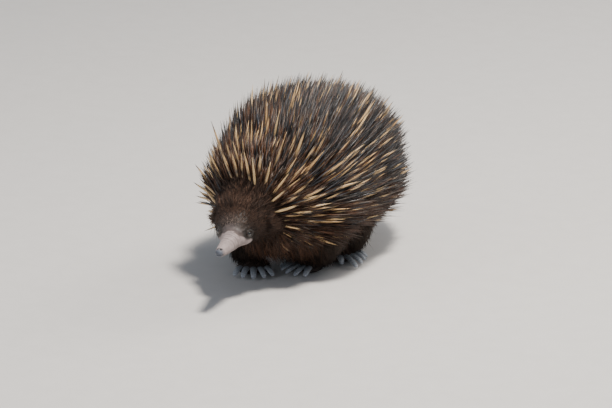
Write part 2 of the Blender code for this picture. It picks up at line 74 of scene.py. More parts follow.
NECK_FRONT = (-0.0105, -0.120, 0.0870)
NECK_MIDDLE = (-0.0100, -0.098, 0.099)
NECK_BACK = (-0.0050, -0.050, 0.107)
NECK_SLIM = 0.028
NECK_BROAD = 0.062
NECK_BROADEST = 0.7
NECK_FULLNESS = 2.6

HEAD_FRONT = (-0.0020, -0.1540, 0.0747)
HEAD_MIDDLE = (-0.0078, -0.1300, 0.0755)
HEAD_BACK = (-0.0125, -0.0850, 0.0970)
HEAD_SLIM = 0.0110
HEAD_BROAD = 0.0395
HEAD_BROADEST = 0.72
HEAD_FLARE = 0.90
HEAD_DROP_SHARE = 0.58
HEAD_DROP_WITHIN = 0.15
HEAD_FULLNESS = 5

BEAK_ROOT = (-0.0040, -0.1410, 0.0777)
BEAK_MIDDLE = (0.0035, -0.1742, 0.0766)
BEAK_TIP = (0.0064, -0.2034, 0.0754)
BEAK_ROOT_RADIUS = 0.0130
BEAK_TIP_RADIUS = 0.0052
BEAK_FULLNESS = 5
NOSTRIL_RADIUS = 0.0010
NOSTRIL_SPREAD = 0.0021
NOSTRIL_BACK = 0.0055
MOUTH_REACH = 0.010
MOUTH_BELOW_AXIS = 0.0014

EYE_ALONG = 0.19
EYE_ANGLE = math.radians(21)
EYE_RADIUS = 0.0036
EYE_SUNK = 0.0016
EAR_ALONG = 0.60
EAR_ANGLE = math.radians(4)

TAIL_ROOT = (0.0, 0.140, 0.064)
TAIL_MIDDLE = (0.0, 0.160, 0.056)
TAIL_TIP = (0.002, 0.176, 0.044)
TAIL_RADIUS = 0.015

LIMBS = {
    "foreleg_right": {"foot": (-0.0320, -0.045), "heading": 28, "root": (-0.044, -0.030, 0.066)},
    "foreleg_left": {"foot": (0.0200, -0.010), "heading": -22, "root": (0.048, -0.014, 0.066)},
    "hindleg_right": {"foot": (-0.052, 0.122), "heading": -135, "root": (-0.046, 0.096, 0.066)},
    "hindleg_left": {"foot": (0.042, 0.044), "heading": 70, "root": (0.048, 0.066, 0.066)},
}
LEG_ROOT_RADIUS = 0.027
LEG_ANKLE_RADIUS = 0.0215
LEG_DEPTH_SHARE = 0.8
LEG_END_HEIGHT = 0.0135
LEG_FULLNESS = 5
LEG_SET_BACK = 0.25
KNEE_OUT = 0.012
KNEE_HEIGHT = 0.040
FOOT_BACK = 0.0200
FOOT_REACH = 0.0150
FOOT_HALF_WIDTH = 0.0215
FOOT_HEEL_SHARE = 0.8
FOOT_BROADEST = 0.7
FOOT_HEIGHT = 0.0165
FOOT_MIDDLE_HEIGHT = 0.0072
FOOT_FULLNESS = 2.6

CLAW_SPREAD = math.radians(60)
CLAW_FAN = 1.25
CLAW_SET_FORWARD = 0.55
CLAW_HALF_WIDTH = 0.0045
CLAW_HALF_DEPTH = 0.0025
CLAW_BEND_AT = 0.55
CLAW_ARCH = 1.15
CLAW_SUNK = 0.007
CLAW_ROOT_HEIGHT = 0.0085
CLAW_TIP_HEIGHT = 0.0028
FORE_CLAW_LENGTHS = (0.011, 0.015, 0.017, 0.016, 0.012)
HIND_CLAW_LENGTHS = (0.007, 0.024, 0.016, 0.011, 0.007)

# How deep the skin lies under each form's outline
SKIN_DEPTHS = {"torso": 0.009, "neck": 0.006, "tail": 0.003, "leg": 0.004, "foot": 0.0012}
HEAD_SKIN_DEPTH_FRONT = 0.0004
HEAD_SKIN_DEPTH_BACK = 0.006
HEAD_COAT_START = 0.25
HEAD_COAT_REACH = 0.6
SOLE_CLEARANCE = 0.0006

# Steps along a form's path, as shares of it
FRAME_STEP = 0.01
SURFACE_STEP = 0.02
END_MARGIN = 0.03

# Places that the coat runs away from, and the middle of the face
TRUNK_FOCUS = np.array((0.0, -0.200, 0.060))
MUZZLE = np.array((-0.0020, -0.152, 0.0765))
SPINE_FOCUS = np.array((-0.004, -0.260, 0.038))
FACE_CENTRE = np.array((-0.0125, -0.118, 0.0900))
FACE_SCALE = (1.12, 0.35, 1)
FAR_CHEEK_SCALE = 1.27


def unit(vectors):
    return vectors / np.maximum(np.linalg.norm(vectors, axis=-1, keepdims=True), TINY**2)


def dot(first, second):
    return np.sum(first * second, axis=-1)


def clamped(value):
    return np.clip(value, 0.0, 1.0)


def blend(low, high, share):
    return low + (high - low) * clamped(share)


def smooth_step(value, start, end):
    share = clamped((value - start) / (end - start))
    return share * share * (3 - 2 * share)


def rounded(t, fullness):
    """Height of a superellipse over t from 0 to 1."""
    return np.maximum(0.0, 1 - np.abs(2 * t - 1) ** fullness) ** (1 / fullness)


def thinned(reach, depth):
    """reach less depth, without turning inside out where a form is thin."""
    return reach**2 / np.maximum(reach + depth, TINY)


def bezier(first, middle, last):
    first, middle, last = (np.array(spot, float) for spot in (first, middle, last))

    def path(t):
        t = np.asarray(t, float)[..., None]
        return first * (1 - t) ** 2 + middle * (2 * t * (1 - t)) + last * t**2

    return path


class Form:
    """A soft closed form swept along a path, as in the part, for arrays of places."""

    def __init__(self, path, width, rise=None, drop=None, floor=None, facing=UP, depth=0.0):
        self.path = path
        self.width = width
        self.rise = rise or width
        self.drop = drop or self.rise
        self.floor = floor
        self.facing = np.asarray(facing, float)
        self.depth = depth if callable(depth) else lambda t: depth

    def frame(self, t):
        ahead = self.path(np.minimum(1, t + FRAME_STEP)) - self.path(np.maximum(0, t - FRAME_STEP))
        tangent = unit(ahead)
        side = unit(np.cross(tangent, self.facing))
        return tangent, side, np.cross(side, tangent)

    def point(self, t, angle, sunk=0.0):
        """The place at t and angle, where sunk is 0 on the outline and 1 on the skin below it."""
        depth = self.depth(t) * sunk
        tangent, side, up = self.frame(t)
        across = thinned(self.width(t), depth) * np.cos(angle)
        upward = thinned(np.where(np.sin(angle) > 0, self.rise(t), self.drop(t)), depth) * np.sin(angle)
        spot = self.path(t) + side * across[..., None] + up * upward[..., None]
        spot = spot - tangent * ((2 * t - 1) * depth)[..., None]
        if self.floor is not None:
            spot[..., 2] = np.maximum(spot[..., 2], self.floor + SOLE_CLEARANCE * sunk)
        return spot

    def nearest(self, spots, stations=41):
        """For each spot: t of the nearest place on the path, angle round it, and how far out."""
        shares = np.linspace(0, 1, stations)
        squares = ((spots[:, None, :] - self.path(shares)[None]) ** 2).sum(-1)
        t = shares[squares.argmin(1)]
        tangent, side, up = self.frame(t)
        away = spots - self.path(t)
        across, upward, along = dot(away, side), dot(away, up), dot(away, tangent)
        angle = np.arctan2(upward, across)
        inner = np.clip(t, END_MARGIN, 1 - END_MARGIN)
        height = np.where(upward > 0, self.rise(inner), self.drop(inner))
        local = 1 / np.sqrt((np.cos(angle) / self.width(inner)) ** 2 + (np.sin(angle) / height) ** 2)
        outside = np.sqrt(across**2 + upward**2 + along**2) - local
        return t, angle, outside


def torso_form():
    def share(t):
        return rounded(t, TORSO_FULLNESS)

    return Form(
        bezier(TORSO_FRONT, TORSO_MIDDLE, TORSO_BACK),
        lambda t: share(t) * TORSO_HALF_WIDTH,
        lambda t: share(t) * TORSO_RISE,
        lambda t: share(t) * TORSO_DROP,
        depth=SKIN_DEPTHS["torso"],
    )


def neck_form():
    def radius(t):
        return rounded(t, NECK_FULLNESS) * blend(NECK_SLIM, NECK_BROAD, t / NECK_BROADEST)

    return Form(bezier(NECK_FRONT, NECK_MIDDLE, NECK_BACK), radius, depth=SKIN_DEPTHS["neck"])


def head_form():
    def radius(t):
        flare = (t / HEAD_BROADEST) ** HEAD_FLARE
        return rounded(t, HEAD_FULLNESS) * blend(HEAD_SLIM, HEAD_BROAD, flare)

    def drop(t):
        return radius(t) * blend(1, HEAD_DROP_SHARE, t / HEAD_DROP_WITHIN)

    def depth(t):
        coated = (t - HEAD_COAT_START) / HEAD_COAT_REACH
        return blend(HEAD_SKIN_DEPTH_FRONT, HEAD_SKIN_DEPTH_BACK, coated)

    return Form(bezier(HEAD_FRONT, HEAD_MIDDLE, HEAD_BACK), radius, radius, drop, depth=depth)


def beak_form():
    def radius(t):
        return rounded(t, BEAK_FULLNESS) * blend(BEAK_ROOT_RADIUS, BEAK_TIP_RADIUS, t)

    return Form(bezier(BEAK_ROOT, BEAK_MIDDLE, BEAK_TIP), radius)


def tail_form():
    return Form(
        bezier(TAIL_ROOT, TAIL_MIDDLE, TAIL_TIP),
        lambda t: rounded(t, 2) * TAIL_RADIUS,
        depth=SKIN_DEPTHS["tail"],
    )


def heading_of(limb):
    angle = math.radians(limb["heading"])
    return np.array((math.sin(angle), -math.cos(angle), 0.0))


def on_ground(place, height):
    return np.array((place[0], place[1], height))


def foot_form(limb):
    heading = heading_of(limb)
    heel = on_ground(limb["foot"], FOOT_MIDDLE_HEIGHT) - heading * FOOT_BACK
    toes = on_ground(limb["foot"], FOOT_MIDDLE_HEIGHT) + heading * FOOT_REACH

    def share(t):
        return rounded(t, FOOT_FULLNESS)

    return Form(
        lambda t: heel + (toes - heel) * np.asarray(t, float)[..., None],
        lambda t: share(t) * FOOT_HALF_WIDTH * blend(FOOT_HEEL_SHARE, 1, t / FOOT_BROADEST),
        lambda t: share(t) * (FOOT_HEIGHT - FOOT_MIDDLE_HEIGHT),
        lambda t: share(t) * FOOT_HEIGHT,
        floor=0.0,
        depth=SKIN_DEPTHS["foot"],
    )


def leg_form(limb):
    root = np.array(limb["root"])
    ankle = on_ground(limb["foot"], LEG_END_HEIGHT) - heading_of(limb) * FOOT_BACK * LEG_SET_BACK
    knee = (root + ankle) / 2
    knee[0] += KNEE_OUT * (1 if root[0] > 0 else -1)
    knee[2] = KNEE_HEIGHT

    def radius(t):
        return rounded(t, LEG_FULLNESS) * blend(LEG_ROOT_RADIUS, LEG_ANKLE_RADIUS, t)

    def depth(t):
        return radius(t) * LEG_DEPTH_SHARE

    return Form(
        bezier(root, knee, ankle), radius, depth, facing=heading_of(limb), depth=SKIN_DEPTHS["leg"]
    )


def body_forms():
    forms = {"torso": torso_form(), "neck": neck_form(), "head": head_form(), "beak": beak_form()}
    forms["tail"] = tail_form()
    for name, limb in LIMBS.items():
        forms[name] = leg_form(limb)
        forms[name.replace("leg", "foot")] = foot_form(limb)
    return forms


def side_angle(sign, angle):
    return angle if sign > 0 else math.pi - angle


def on_head(sign, along, angle):
    """Point, outward, backward and upward directions of a place on the side of the head."""
    head = head_form()
    turned = np.array([side_angle(sign, angle)] * 3)
    places = head.point(np.array([along - SURFACE_STEP, along, along + SURFACE_STEP]), turned)
    outward = unit(places[1] - head.path(np.array(along)))
    backward = unit(places[2] - places[0])
    outward = unit(outward - backward * dot(outward, backward))
    return places[1], outward, backward, np.cross(outward, backward)


# Meshes

def linked(name, data):
    obj = bpy.data.objects.new(name, data)
    bpy.context.scene.collection.objects.link(obj)
    return obj


def set_tint(mesh, colours):
    """Gives each corner of a mesh its own colour, which its material reads."""
    full = np.ones((len(mesh.vertices), 4), np.float32)
    full[:, :3] = colours
    attribute = mesh.color_attributes.new("tint", "FLOAT_COLOR", "POINT")
    attribute.data.foreach_set("color", full.ravel())


def mesh_object(name, corners, faces):
    """An object from an array of corners and a list of faces or arrays of faces."""
    mesh = bpy.data.meshes.new(name)
    mesh.vertices.add(len(corners))
    mesh.vertices.foreach_set("co", np.asarray(corners, np.float32).ravel())
    totals = np.concatenate([np.full(len(block), block.shape[1]) for block in faces])
    loops = np.concatenate([block.ravel() for block in faces]).astype(np.int32)
    mesh.loops.add(len(loops))
    mesh.loops.foreach_set("vertex_index", loops)
    mesh.polygons.add(len(totals))
    starts = np.concatenate([[0], np.cumsum(totals)[:-1]]).astype(np.int32)
    mesh.polygons.foreach_set("loop_start", starts)
    mesh.update(calc_edges=True)
    mesh.validate()
    mesh.shade_smooth()
    return linked(name, mesh)


def tube_faces(rings, sides):
    """Quads between rings of equal count, as one array of four corners each."""
    ring, side = np.meshgrid(np.arange(rings - 1), np.arange(sides), indexing="ij")
    here = ring * sides + side
    beside = ring * sides + (side + 1) % sides
    return np.stack((here, beside, beside + sides, here + sides), -1).reshape(-1, 4)


def capped_faces(rings, sides):
    """Faces of a tube whose two end points come after the corners of its rings."""
    first = np.arange(sides)
    after = (first + 1) % sides
    base = (rings - 1) * sides
    count = rings * sides
    start_fan = np.stack((after, first, np.full(sides, count)), -1)
    end_fan = np.stack((base + first, base + after, np.full(sides, count + 1)), -1)
    return [tube_faces(rings, sides), np.concatenate((start_fan, end_fan))]


def ring_places(rings, sides):
    """t and angle of the corners of a closed form's rings, closer together near its ends."""
    t = (1 - np.cos(np.pi * np.arange(1, rings + 1) / (rings + 1))) / 2
    angle = np.arange(sides) / sides * 2 * math.pi
    return (grid.ravel() for grid in np.meshgrid(t, angle, indexing="ij"))


def joined_faces(blocks_of_each, counts):
    """Faces of several meshes as blocks of one, where counts gives the corners of each."""
    offsets = np.concatenate([[0], np.cumsum(counts)[:-1]])
    shifted = [[block + start for block in blocks] for blocks, start in zip(blocks_of_each, offsets)]
    return [np.concatenate(alike) for alike in zip(*shifted)]


def evaluated_mesh(obj):
    graph = bpy.context.evaluated_depsgraph_get()
    return bpy.data.meshes.new_from_object(obj.evaluated_get(graph))


def coordinates(mesh):
    spots = np.empty(len(mesh.vertices) * 3, np.float32)
    mesh.vertices.foreach_get("co", spots)
    return spots.reshape(-1, 3).astype(float)


def move_corners(mesh, spots):
    mesh.vertices.foreach_set("co", spots.astype(np.float32).ravel())
    mesh.update()


def vertex_normals(mesh):
    normals = np.empty(len(mesh.vertices) * 3, np.float32)
    mesh.vertex_normals.foreach_get("vector", normals)
    return normals.reshape(-1, 3).astype(float)


def relaxed(mesh, passes, share):
    """Moves each corner towards the middle of its neighbours, by share, in several passes."""
    spots = coordinates(mesh)
    edges = np.empty(len(mesh.edges) * 2, np.int32)
    mesh.edges.foreach_get("vertices", edges)
    first, second = edges.reshape(-1, 2).T
    counts = np.bincount(first, minlength=len(spots)) + np.bincount(second, minlength=len(spots))
    for _ in range(passes):
        total = np.zeros_like(spots)
        for axis in range(3):
            total[:, axis] = np.bincount(first, spots[second, axis], len(spots))
            total[:, axis] += np.bincount(second, spots[first, axis], len(spots))
        spots += (total / counts[:, None] - spots) * share[:, None]
    move_corners(mesh, spots)


SKIN_VOXEL = 0.0020
SKIN_RINGS, SKIN_SIDES = 39, 48
FACE_FRONT = -0.112
EYES_FRONT = -0.127

# Rounding off of the skin: how many passes, how far each goes, and where
ALL_PASSES, NAPE_PASSES, REFINED_PASSES = 8, 90, 4
ROUNDING = 0.5
BEAK_ROUNDING = 0.10
BEAK_AHEAD = (0.138, 0.152)
NAPE_FRONT = (-0.136, -0.120)
NAPE_REAR = (0.045, 0.065)
NAPE_LOWEST = 0.035


def base_skin(forms):
    """One closed surface round all the forms."""
    t, angle = ring_places(SKIN_RINGS, SKIN_SIDES)
    corners = []
    for form in forms.values():
        ends = form.point(np.array([0.0, 1.0]), np.zeros(2), sunk=1.0)
        corners.append(np.concatenate((form.point(t, angle, sunk=1.0), ends)))
    faces = [capped_faces(SKIN_RINGS, SKIN_SIDES)] * len(corners)
    blocks = joined_faces(faces, [len(spots) for spots in corners])
    skin = mesh_object("skin", np.concatenate(corners), blocks)
    remesh = skin.modifiers.new("remesh", "REMESH")
    remesh.mode = "VOXEL"
    remesh.voxel_size = SKIN_VOXEL
    remesh.use_smooth_shade = True
    mesh = evaluated_mesh(skin)
    skin.modifiers.clear()
    skin.data = mesh
    ahead = -coordinates(mesh)[:, 1]
    relaxed(mesh, ALL_PASSES, blend(ROUNDING, BEAK_ROUNDING, smooth_step(ahead, *BEAK_AHEAD)))
    x, y, z = coordinates(mesh).T
    nape = smooth_step(y, *NAPE_FRONT) * smooth_step(-y, *NAPE_REAR) * (z > NAPE_LOWEST)
    relaxed(mesh, NAPE_PASSES, ROUNDING * nape)
    return skin


def refined(skin, front):
    """Splits the faces ahead of front in four and rounds them off."""
    bm = bmesh.new()
    bm.from_mesh(skin.data)
    near = [edge for edge in bm.edges if all(vert.co.y < front for vert in edge.verts)]
    bmesh.ops.subdivide_edges(bm, edges=near, cuts=1, use_grid_fill=True)
    bmesh.ops.triangulate(bm, faces=[face for face in bm.faces if len(face.verts) > 4])
    bm.to_mesh(skin.data)
    bm.free()
    relaxed(skin.data, REFINED_PASSES, ROUNDING * (coordinates(skin.data)[:, 1] < front))


def on_each_side(along, angle):
    return [on_head(sign, along, angle) for sign in SIDES.values()]


def bell(value, middle, width):
    return np.exp(-(((value - middle) / width) ** 2))


# Wrinkles round the beak: where along it, how deep and how wide
WRINKLES = (
    (0.36, 0.95, 0.013), (0.52, 0.70, 0.011), (0.31, 0.45, 0.009),
    (0.43, 0.42, 0.009), (0.26, 0.40, 0.010), (0.60, 0.22, 0.008),
)
WRINKLE_DEPTH = 0.001
WRINKLE_SWAY = 0.010
WRINKLE_TURNS = 3
WRINKLE_SHIFT = 40
WRINKLED_OVER = (-0.55, 0.35)
BEAK_STATIONS = 161
BEAK_START = -0.140
BEAK_SKIN = 0.006

# Lids, the folds round them and the brow
LID_RING = 0.0040
LID_HEIGHT = 0.0009
LID_WIDTH = 0.0011
LID_LONG, LID_TALL = 1.22, 0.92
SOCKET_DEPTH = 0.0042
SOCKET_EDGE = (-0.0031, -0.0023)
FOLD_DEPTH = 0.00022
FOLD_SPACING = 0.0015
FOLD_SWAY, FOLD_TURNS = 1.3, 3
FOLD_FADE = 0.0032
BROW_HEIGHT = 0.0007
BROW_ABOVE = 0.0062
BROW_WIDTH = 0.0014
BROW_LENGTH = 0.0065
EYE_REACH = 0.016
SIDE_REACH = 0.012

NOSTRIL_LONG, NOSTRIL_DEEP = 1.7, 2.5
NOSTRIL_HEIGHT_SHARE = 0.9
NOSTRIL_DEPTH = 0.0014
NOSTRIL_RIM = (0.0018, 0.0006)
NOSTRIL_RIM_HEIGHT = 0.0003
MOUTH_DEPTH = 0.0008
MOUTH_WIDTH = 0.00045
MOUTH_FADE = 0.7
MOUTH_START = -0.18

EAR_HALF_LENGTH = 0.0034
EAR_HALF_HEIGHT = 0.0085
EAR_RIM_HEIGHT = 0.0014
EAR_RIM_WIDTH = 0.35
EAR_CUP_DEPTH = 0.003
EAR_CUP_EDGE = (-0.75, -0.4)


def local_place(spots, origin, axes):
    return [dot(spots - origin, axis) for axis in axes]


def wrinkle_lines(t, angle):
    """For each wrinkle its depth, and 1 along its middle falling to 0 beside it."""
    for place, depth, width in WRINKLES:
        middle = place + WRINKLE_SWAY * np.sin(angle * WRINKLE_TURNS + place * WRINKLE_SHIFT)
        yield depth, bell(t, middle, width)


def nostril_places():
    tangent, side, up = beak_form().frame(np.array(1.0))
    middle = np.array(BEAK_TIP) - tangent * NOSTRIL_BACK + up * BEAK_TIP_RADIUS * NOSTRIL_HEIGHT_SHARE
    return [middle + side * sign * NOSTRIL_SPREAD for sign in SIDES.values()]


def eye_relief(spots):
    """How lids, sockets, folds and brows move the skin."""
    shift = np.zeros_like(spots)
    for surface, outward, backward, upward in on_each_side(EYE_ALONG, EYE_ANGLE):
        h, a, b = local_place(spots, surface, (outward, backward, upward))
        r = np.sqrt((a / LID_LONG) ** 2 + (b / LID_TALL) ** 2) + TINY
        beyond = r - LID_RING
        lid = LID_HEIGHT * bell(r, LID_RING, LID_WIDTH)
        socket = SOCKET_DEPTH * smooth_step(-r, *SOCKET_EDGE)
        wave = 2 * math.pi * beyond / FOLD_SPACING + FOLD_SWAY * np.sin(FOLD_TURNS * np.arctan2(b, a))
        fold = FOLD_DEPTH * np.cos(wave) * np.exp(-beyond / FOLD_FADE) * (beyond > 0)
        brow = BROW_HEIGHT * bell(b, BROW_ABOVE, BROW_WIDTH) * bell(a, 0, BROW_LENGTH)
        near = (np.abs(h) < SIDE_REACH) & (r < EYE_REACH)
        shift += outward * (near * (lid - socket + fold + brow))[:, None]
    return shift


def beak_relief(spots):
    """How far wrinkles, nostrils and the slit of the mouth push the skin out."""
    beak = beak_form()
    t, angle, outside = beak.nearest(spots, BEAK_STATIONS)
    on_beak = (spots[:, 1] < BEAK_START) & (outside < BEAK_SKIN)
    over = smooth_step(np.sin(angle), *WRINKLED_OVER)
    push = np.zeros(len(spots))
    for depth, line in wrinkle_lines(t, angle):
        push -= on_beak * over * depth * WRINKLE_DEPTH * line
    axes = beak.frame(np.array(1.0))
    for centre in nostril_places():
        x, y, z = local_place(spots, centre, axes)
        r = np.sqrt((x / NOSTRIL_LONG) ** 2 + y**2 + (z / NOSTRIL_DEEP) ** 2)
        push += NOSTRIL_RIM_HEIGHT * bell(r, *NOSTRIL_RIM) - NOSTRIL_DEPTH * bell(r, 0, NOSTRIL_RADIUS)
    x, y, z = local_place(spots, np.array(BEAK_TIP), axes)
    slit = bell(z, -MOUTH_BELOW_AXIS, MOUTH_WIDTH)
    slit *= smooth_step(x, -MOUTH_REACH, -MOUTH_REACH * MOUTH_FADE)
    return push - MOUTH_DEPTH * slit * (spots[:, 1] < MOUTH_START)


def ear_relief(spots):
    """How far the rims and cups of the ears push the skin out."""
    push = np.zeros(len(spots))
    for surface, outward, backward, upward in on_each_side(EAR_ALONG, EAR_ANGLE):
        origin = surface - outward * HEAD_SKIN_DEPTH_BACK
        h, a, b = local_place(spots, origin, (outward, backward, upward))
        r = np.sqrt((a / EAR_HALF_LENGTH) ** 2 + (b / EAR_HALF_HEIGHT) ** 2)
        rim = EAR_RIM_HEIGHT * bell(r, 1, EAR_RIM_WIDTH)
        push += (np.abs(h) < SIDE_REACH) * (rim - EAR_CUP_DEPTH * smooth_step(-r, *EAR_CUP_EDGE))
    return push


def sculpted(skin):
    """Lids and folds, wrinkles over the root of the beak, nostrils, mouth and ears."""
    spots = coordinates(skin.data)
    push = beak_relief(spots) + ear_relief(spots)
    move_corners(skin.data, spots + eye_relief(spots) + vertex_normals(skin.data) * push[:, None])


# Where on the body a place lies

def ownership(forms, spots):
    """For each spot, the number of the form that it lies on, with t and angle there."""
    placed = [form.nearest(spots) for form in forms.values()]
    misses = [np.abs(place[2] + form.depth(place[0])) for place, form in zip(placed, forms.values())]
    owner = np.argmin(misses, axis=0)
    which = np.arange(len(spots))
    t, angle = (np.array([place[part] for place in placed])[owner, which] for part in (0, 1))
    return owner, t, angle


UNWRAP_MARGIN = 0.01
LIMB_FIELD_HEIGHT = 0.09


# Fields of the unwrap: left, low, right and high, as shares of it
BODY_FIELDS = {
    "torso": (0.0, 0.45, 1.0, 1.0), "neck": (0.0, 0.27, 0.5, 0.44), "head": (0.5, 0.27, 1.0, 0.44),
    "beak": (0.0, 0.18, 0.5, 0.26), "tail": (0.5, 0.18, 1.0, 0.26),
}


def unwrapped(forms, owner, t, angle):
    """An unwrap of the body: each form's length and girth rolled out in a field of its own."""
    fields = dict(BODY_FIELDS)
    for number, name in enumerate(LIMBS):
        left, right = number / len(LIMBS), (number + 1) / len(LIMBS)
        fields[name] = (left, LIMB_FIELD_HEIGHT, right, 2 * LIMB_FIELD_HEIGHT - UNWRAP_MARGIN)
        fields[name.replace("leg", "foot")] = (left, 0.0, right, LIMB_FIELD_HEIGHT - UNWRAP_MARGIN)
    corners = np.array([fields[name] for name in forms])[owner]
    low = corners[:, :2] + UNWRAP_MARGIN
    high = corners[:, 2:] - UNWRAP_MARGIN
    place = np.stack(((angle / (2 * math.pi)) % 1.0, t), -1)
    return low + (high - low) * place


class Surface:
    """Random places on the skin."""

    def __init__(self, skin, forms):
        mesh = skin.data
        mesh.calc_loop_triangles()
        triangles = np.empty(len(mesh.loop_triangles) * 3, np.int32)
        mesh.loop_triangles.foreach_get("vertices", triangles)
        self.triangles = triangles.reshape(-1, 3)
        self.spots = coordinates(mesh)
        self.normals = vertex_normals(mesh)
        corners = self.spots[self.triangles]
        crossed = np.cross(corners[:, 1] - corners[:, 0], corners[:, 2] - corners[:, 0])
        self.areas = np.linalg.norm(crossed, axis=1) / 2
        self.middles = corners.mean(1)
        self.forms = forms

    def places(self, density, draw):
        """Random places, density(middles) of them a square metre, with their normals."""
        expected = self.areas * density(self.middles)
        counts = draw.poisson(expected)
        faces = np.repeat(np.arange(len(counts)), counts)
        shares = draw.dirichlet((1, 1, 1), len(faces))
        corners = self.triangles[faces]
        spots = (self.spots[corners] * shares[..., None]).sum(1)
        normals = unit((self.normals[corners] * shares[..., None]).sum(1))
        return spots, normals


def thinned_out(spots, gap, draw):
    """Indices of spots, in random order, that keep gap from each other."""
    cells = {}
    kept = []
    keys = np.floor(spots / gap).astype(int)
    steps = (-1, 0, 1)
    for index in draw.permutation(len(spots)):
        x, y, z = keys[index]
        around = [(x + dx, y + dy, z + dz) for dx in steps for dy in steps for dz in steps]
        others = [spots[other] for cell in around for other in cells.get(cell, ())]
        if all(np.dot(spots[index] - other, spots[index] - other) >= gap * gap for other in others):
            cells.setdefault((x, y, z), []).append(index)
            kept.append(index)
    return np.array(kept, int)


# Strands

PATCH = 0.003
TRIANGLES_A_PIECE = 190000
FLOOR_CLEARANCE = 0.0004


def strands(name, sides, profile, material, **each):
    """Tapered strands in joined meshes, each strand a closed tube drawn to a point.

    profile lists (share of the length, share of the width). each holds arrays with a row for each
    strand: roots, directions, facings, lengths, sizes as half widths and half depths, bend at the
    tip, tints at each share, and uvs.
    """
    shares, swells = np.array(profile).T
    triangles_each = (len(shares) - 1) * sides * 2 + sides + sides - 2
    most = TRIANGLES_A_PIECE // triangles_each
    pieces = []
    for number, start in enumerate(range(0, len(each["roots"]), most)):
        part = {key: rows[start:start + most] for key, rows in each.items()}
        piece = strand_piece(f"{name}_{number + 1}", sides, shares, swells, **part)
        piece.data.materials.append(material)
        pieces.append(piece)
    return pieces


def strand_piece(name, sides, shares, swells, roots, directions, facings, lengths, sizes, bend, tints, uvs):
    count, rings = len(roots), len(shares)
    across = unit(np.cross(directions, facings))
    outward = np.cross(across, directions)
    centre = roots[:, None] + directions[:, None] * (lengths[:, None] * shares)[..., None]
    centre = centre + bend[:, None] * (shares**2)[None, :, None]
    turn = np.arange(sides) / sides * 2 * math.pi
    wide = (np.cos(turn) * swells[:, None])[None] * sizes[:, 0, None, None]
    deep = (np.sin(turn) * swells[:, None])[None] * sizes[:, 1, None, None]
    tube = centre[:, :, None] + across[:, None, None] * wide[..., None]
    tube = tube + outward[:, None, None] * deep[..., None]
    tips = roots + directions * lengths[:, None] + bend
    corners = np.concatenate((tube.reshape(count, -1, 3), tips[:, None]), axis=1)
    corners[..., 2] = np.maximum(corners[..., 2], FLOOR_CLEARANCE)
    per_strand = rings * sides + 1
    last = (rings - 1) * sides + np.arange(sides)
    last_after = (rings - 1) * sides + (np.arange(sides) + 1) % sides
    fan = np.stack((last, last_after, np.full(sides, per_strand - 1)), -1)
    cap = np.arange(sides)[::-1][None]
    offsets = (np.arange(count) * per_strand)[:, None, None]
    one_strand = (tube_faces(rings, sides), fan, cap)
    blocks = [(block[None] + offsets).reshape(-1, block.shape[1]) for block in one_strand]
    obj = mesh_object(name, corners.reshape(-1, 3), blocks)
    ring_of_corner = np.concatenate((np.repeat(np.arange(rings), sides), [rings]))
    set_tint(obj.data, tints[:, ring_of_corner].reshape(-1, 3))
    along = np.concatenate((np.repeat(shares, sides), [1.0]))
    patch = np.stack((np.concatenate((np.tile(np.arange(sides) / sides, rings), [0.5])), along), -1)
    flat = uvs[:, None] + (patch[None] - 0.5) * PATCH
    flat = flat.reshape(-1, 2).astype(np.float32)
    layer = obj.data.uv_layers.new(name="OFBake")
    loops = np.empty(len(obj.data.loops), np.int32)
    obj.data.loops.foreach_get("vertex_index", loops)
    layer.data.foreach_set("uv", flat[loops].ravel())
    return obj


# Lie and colour of the coat

DARK_BROWN = np.array((0.020, 0.0125, 0.0085))
CROWN_BROWN = np.array((0.0702, 0.0351, 0.0216))
RED_BROWN = np.array((0.090, 0.040, 0.020))
BLACK = np.array((0.0075, 0.0070, 0.0075))
SLATE = np.array((0.030, 0.031, 0.036))
CREAM = np.array((0.68, 0.47, 0.235))
TAN = np.array((0.46, 0.265, 0.105))
GREY_TIP = np.array((0.30, 0.25, 0.21))
PINK_GREY = np.array((0.33, 0.265, 0.255))
TIP_BLUE = np.array((0.085, 0.095, 0.12))
MUZZLE_GREY = np.array((0.170, 0.130, 0.112))
LID_BROWN = np.array((0.027, 0.022, 0.019))
CLAW_BLUE = np.array((0.23, 0.245, 0.27))

TRUNK_START = (-0.120, -0.055)
HANGING_BACK = 0.35
SWEPT_SHARE = 0.40
SWEPT_FROM, SWEPT_OVER = 0.095, 0.05

# Where bare skin starts: on top of the beak, how much further back at the lips, and how softly
BARE_START = -0.1555
BARE_LIPS = 0.0195
BARE_LOWER = (-0.085, -0.074)
BARE_EDGE = (-0.0008, 0.0014)
BARE_DEPTH = (-0.0042, -0.0018)
BARE_LIP_DEPTH = 0.007
BARE_STATIONS = 81
FACE_END = -0.130
LEAST_ROOM = 0.0015


def mixed(first, second, share):
    share = np.asarray(share)[..., None]
    return first * (1 - share) + second * share


def lie_of(spots, normals, hanging):
    """The way fur runs: back from the muzzle, over the trunk, and down where it hangs."""
    share = smooth_step(spots[:, 1], *TRUNK_START)
    away = mixed(unit(spots - MUZZLE), unit(spots - TRUNK_FOCUS), share)
    away = mixed(away, unit(np.array((0.0, HANGING_BACK, -1.0))), hanging)
    return unit(away - normals * dot(away, normals)[:, None])


def spine_lie(spots, normals):
    """The way spines and bristles run: back over the trunk from well ahead of the face."""
    away = unit(spots - SPINE_FOCUS)
    return unit(away - normals * dot(away, normals)[:, None])


def from_face(spots):
    """How far spots lie from the middle of the face, less where they lie behind it."""
    away = (spots - FACE_CENTRE) * FACE_SCALE
    away[:, 0] *= np.where(away[:, 0] < 0, FAR_CHEEK_SCALE, 1.0)
    return np.linalg.norm(away, axis=1)


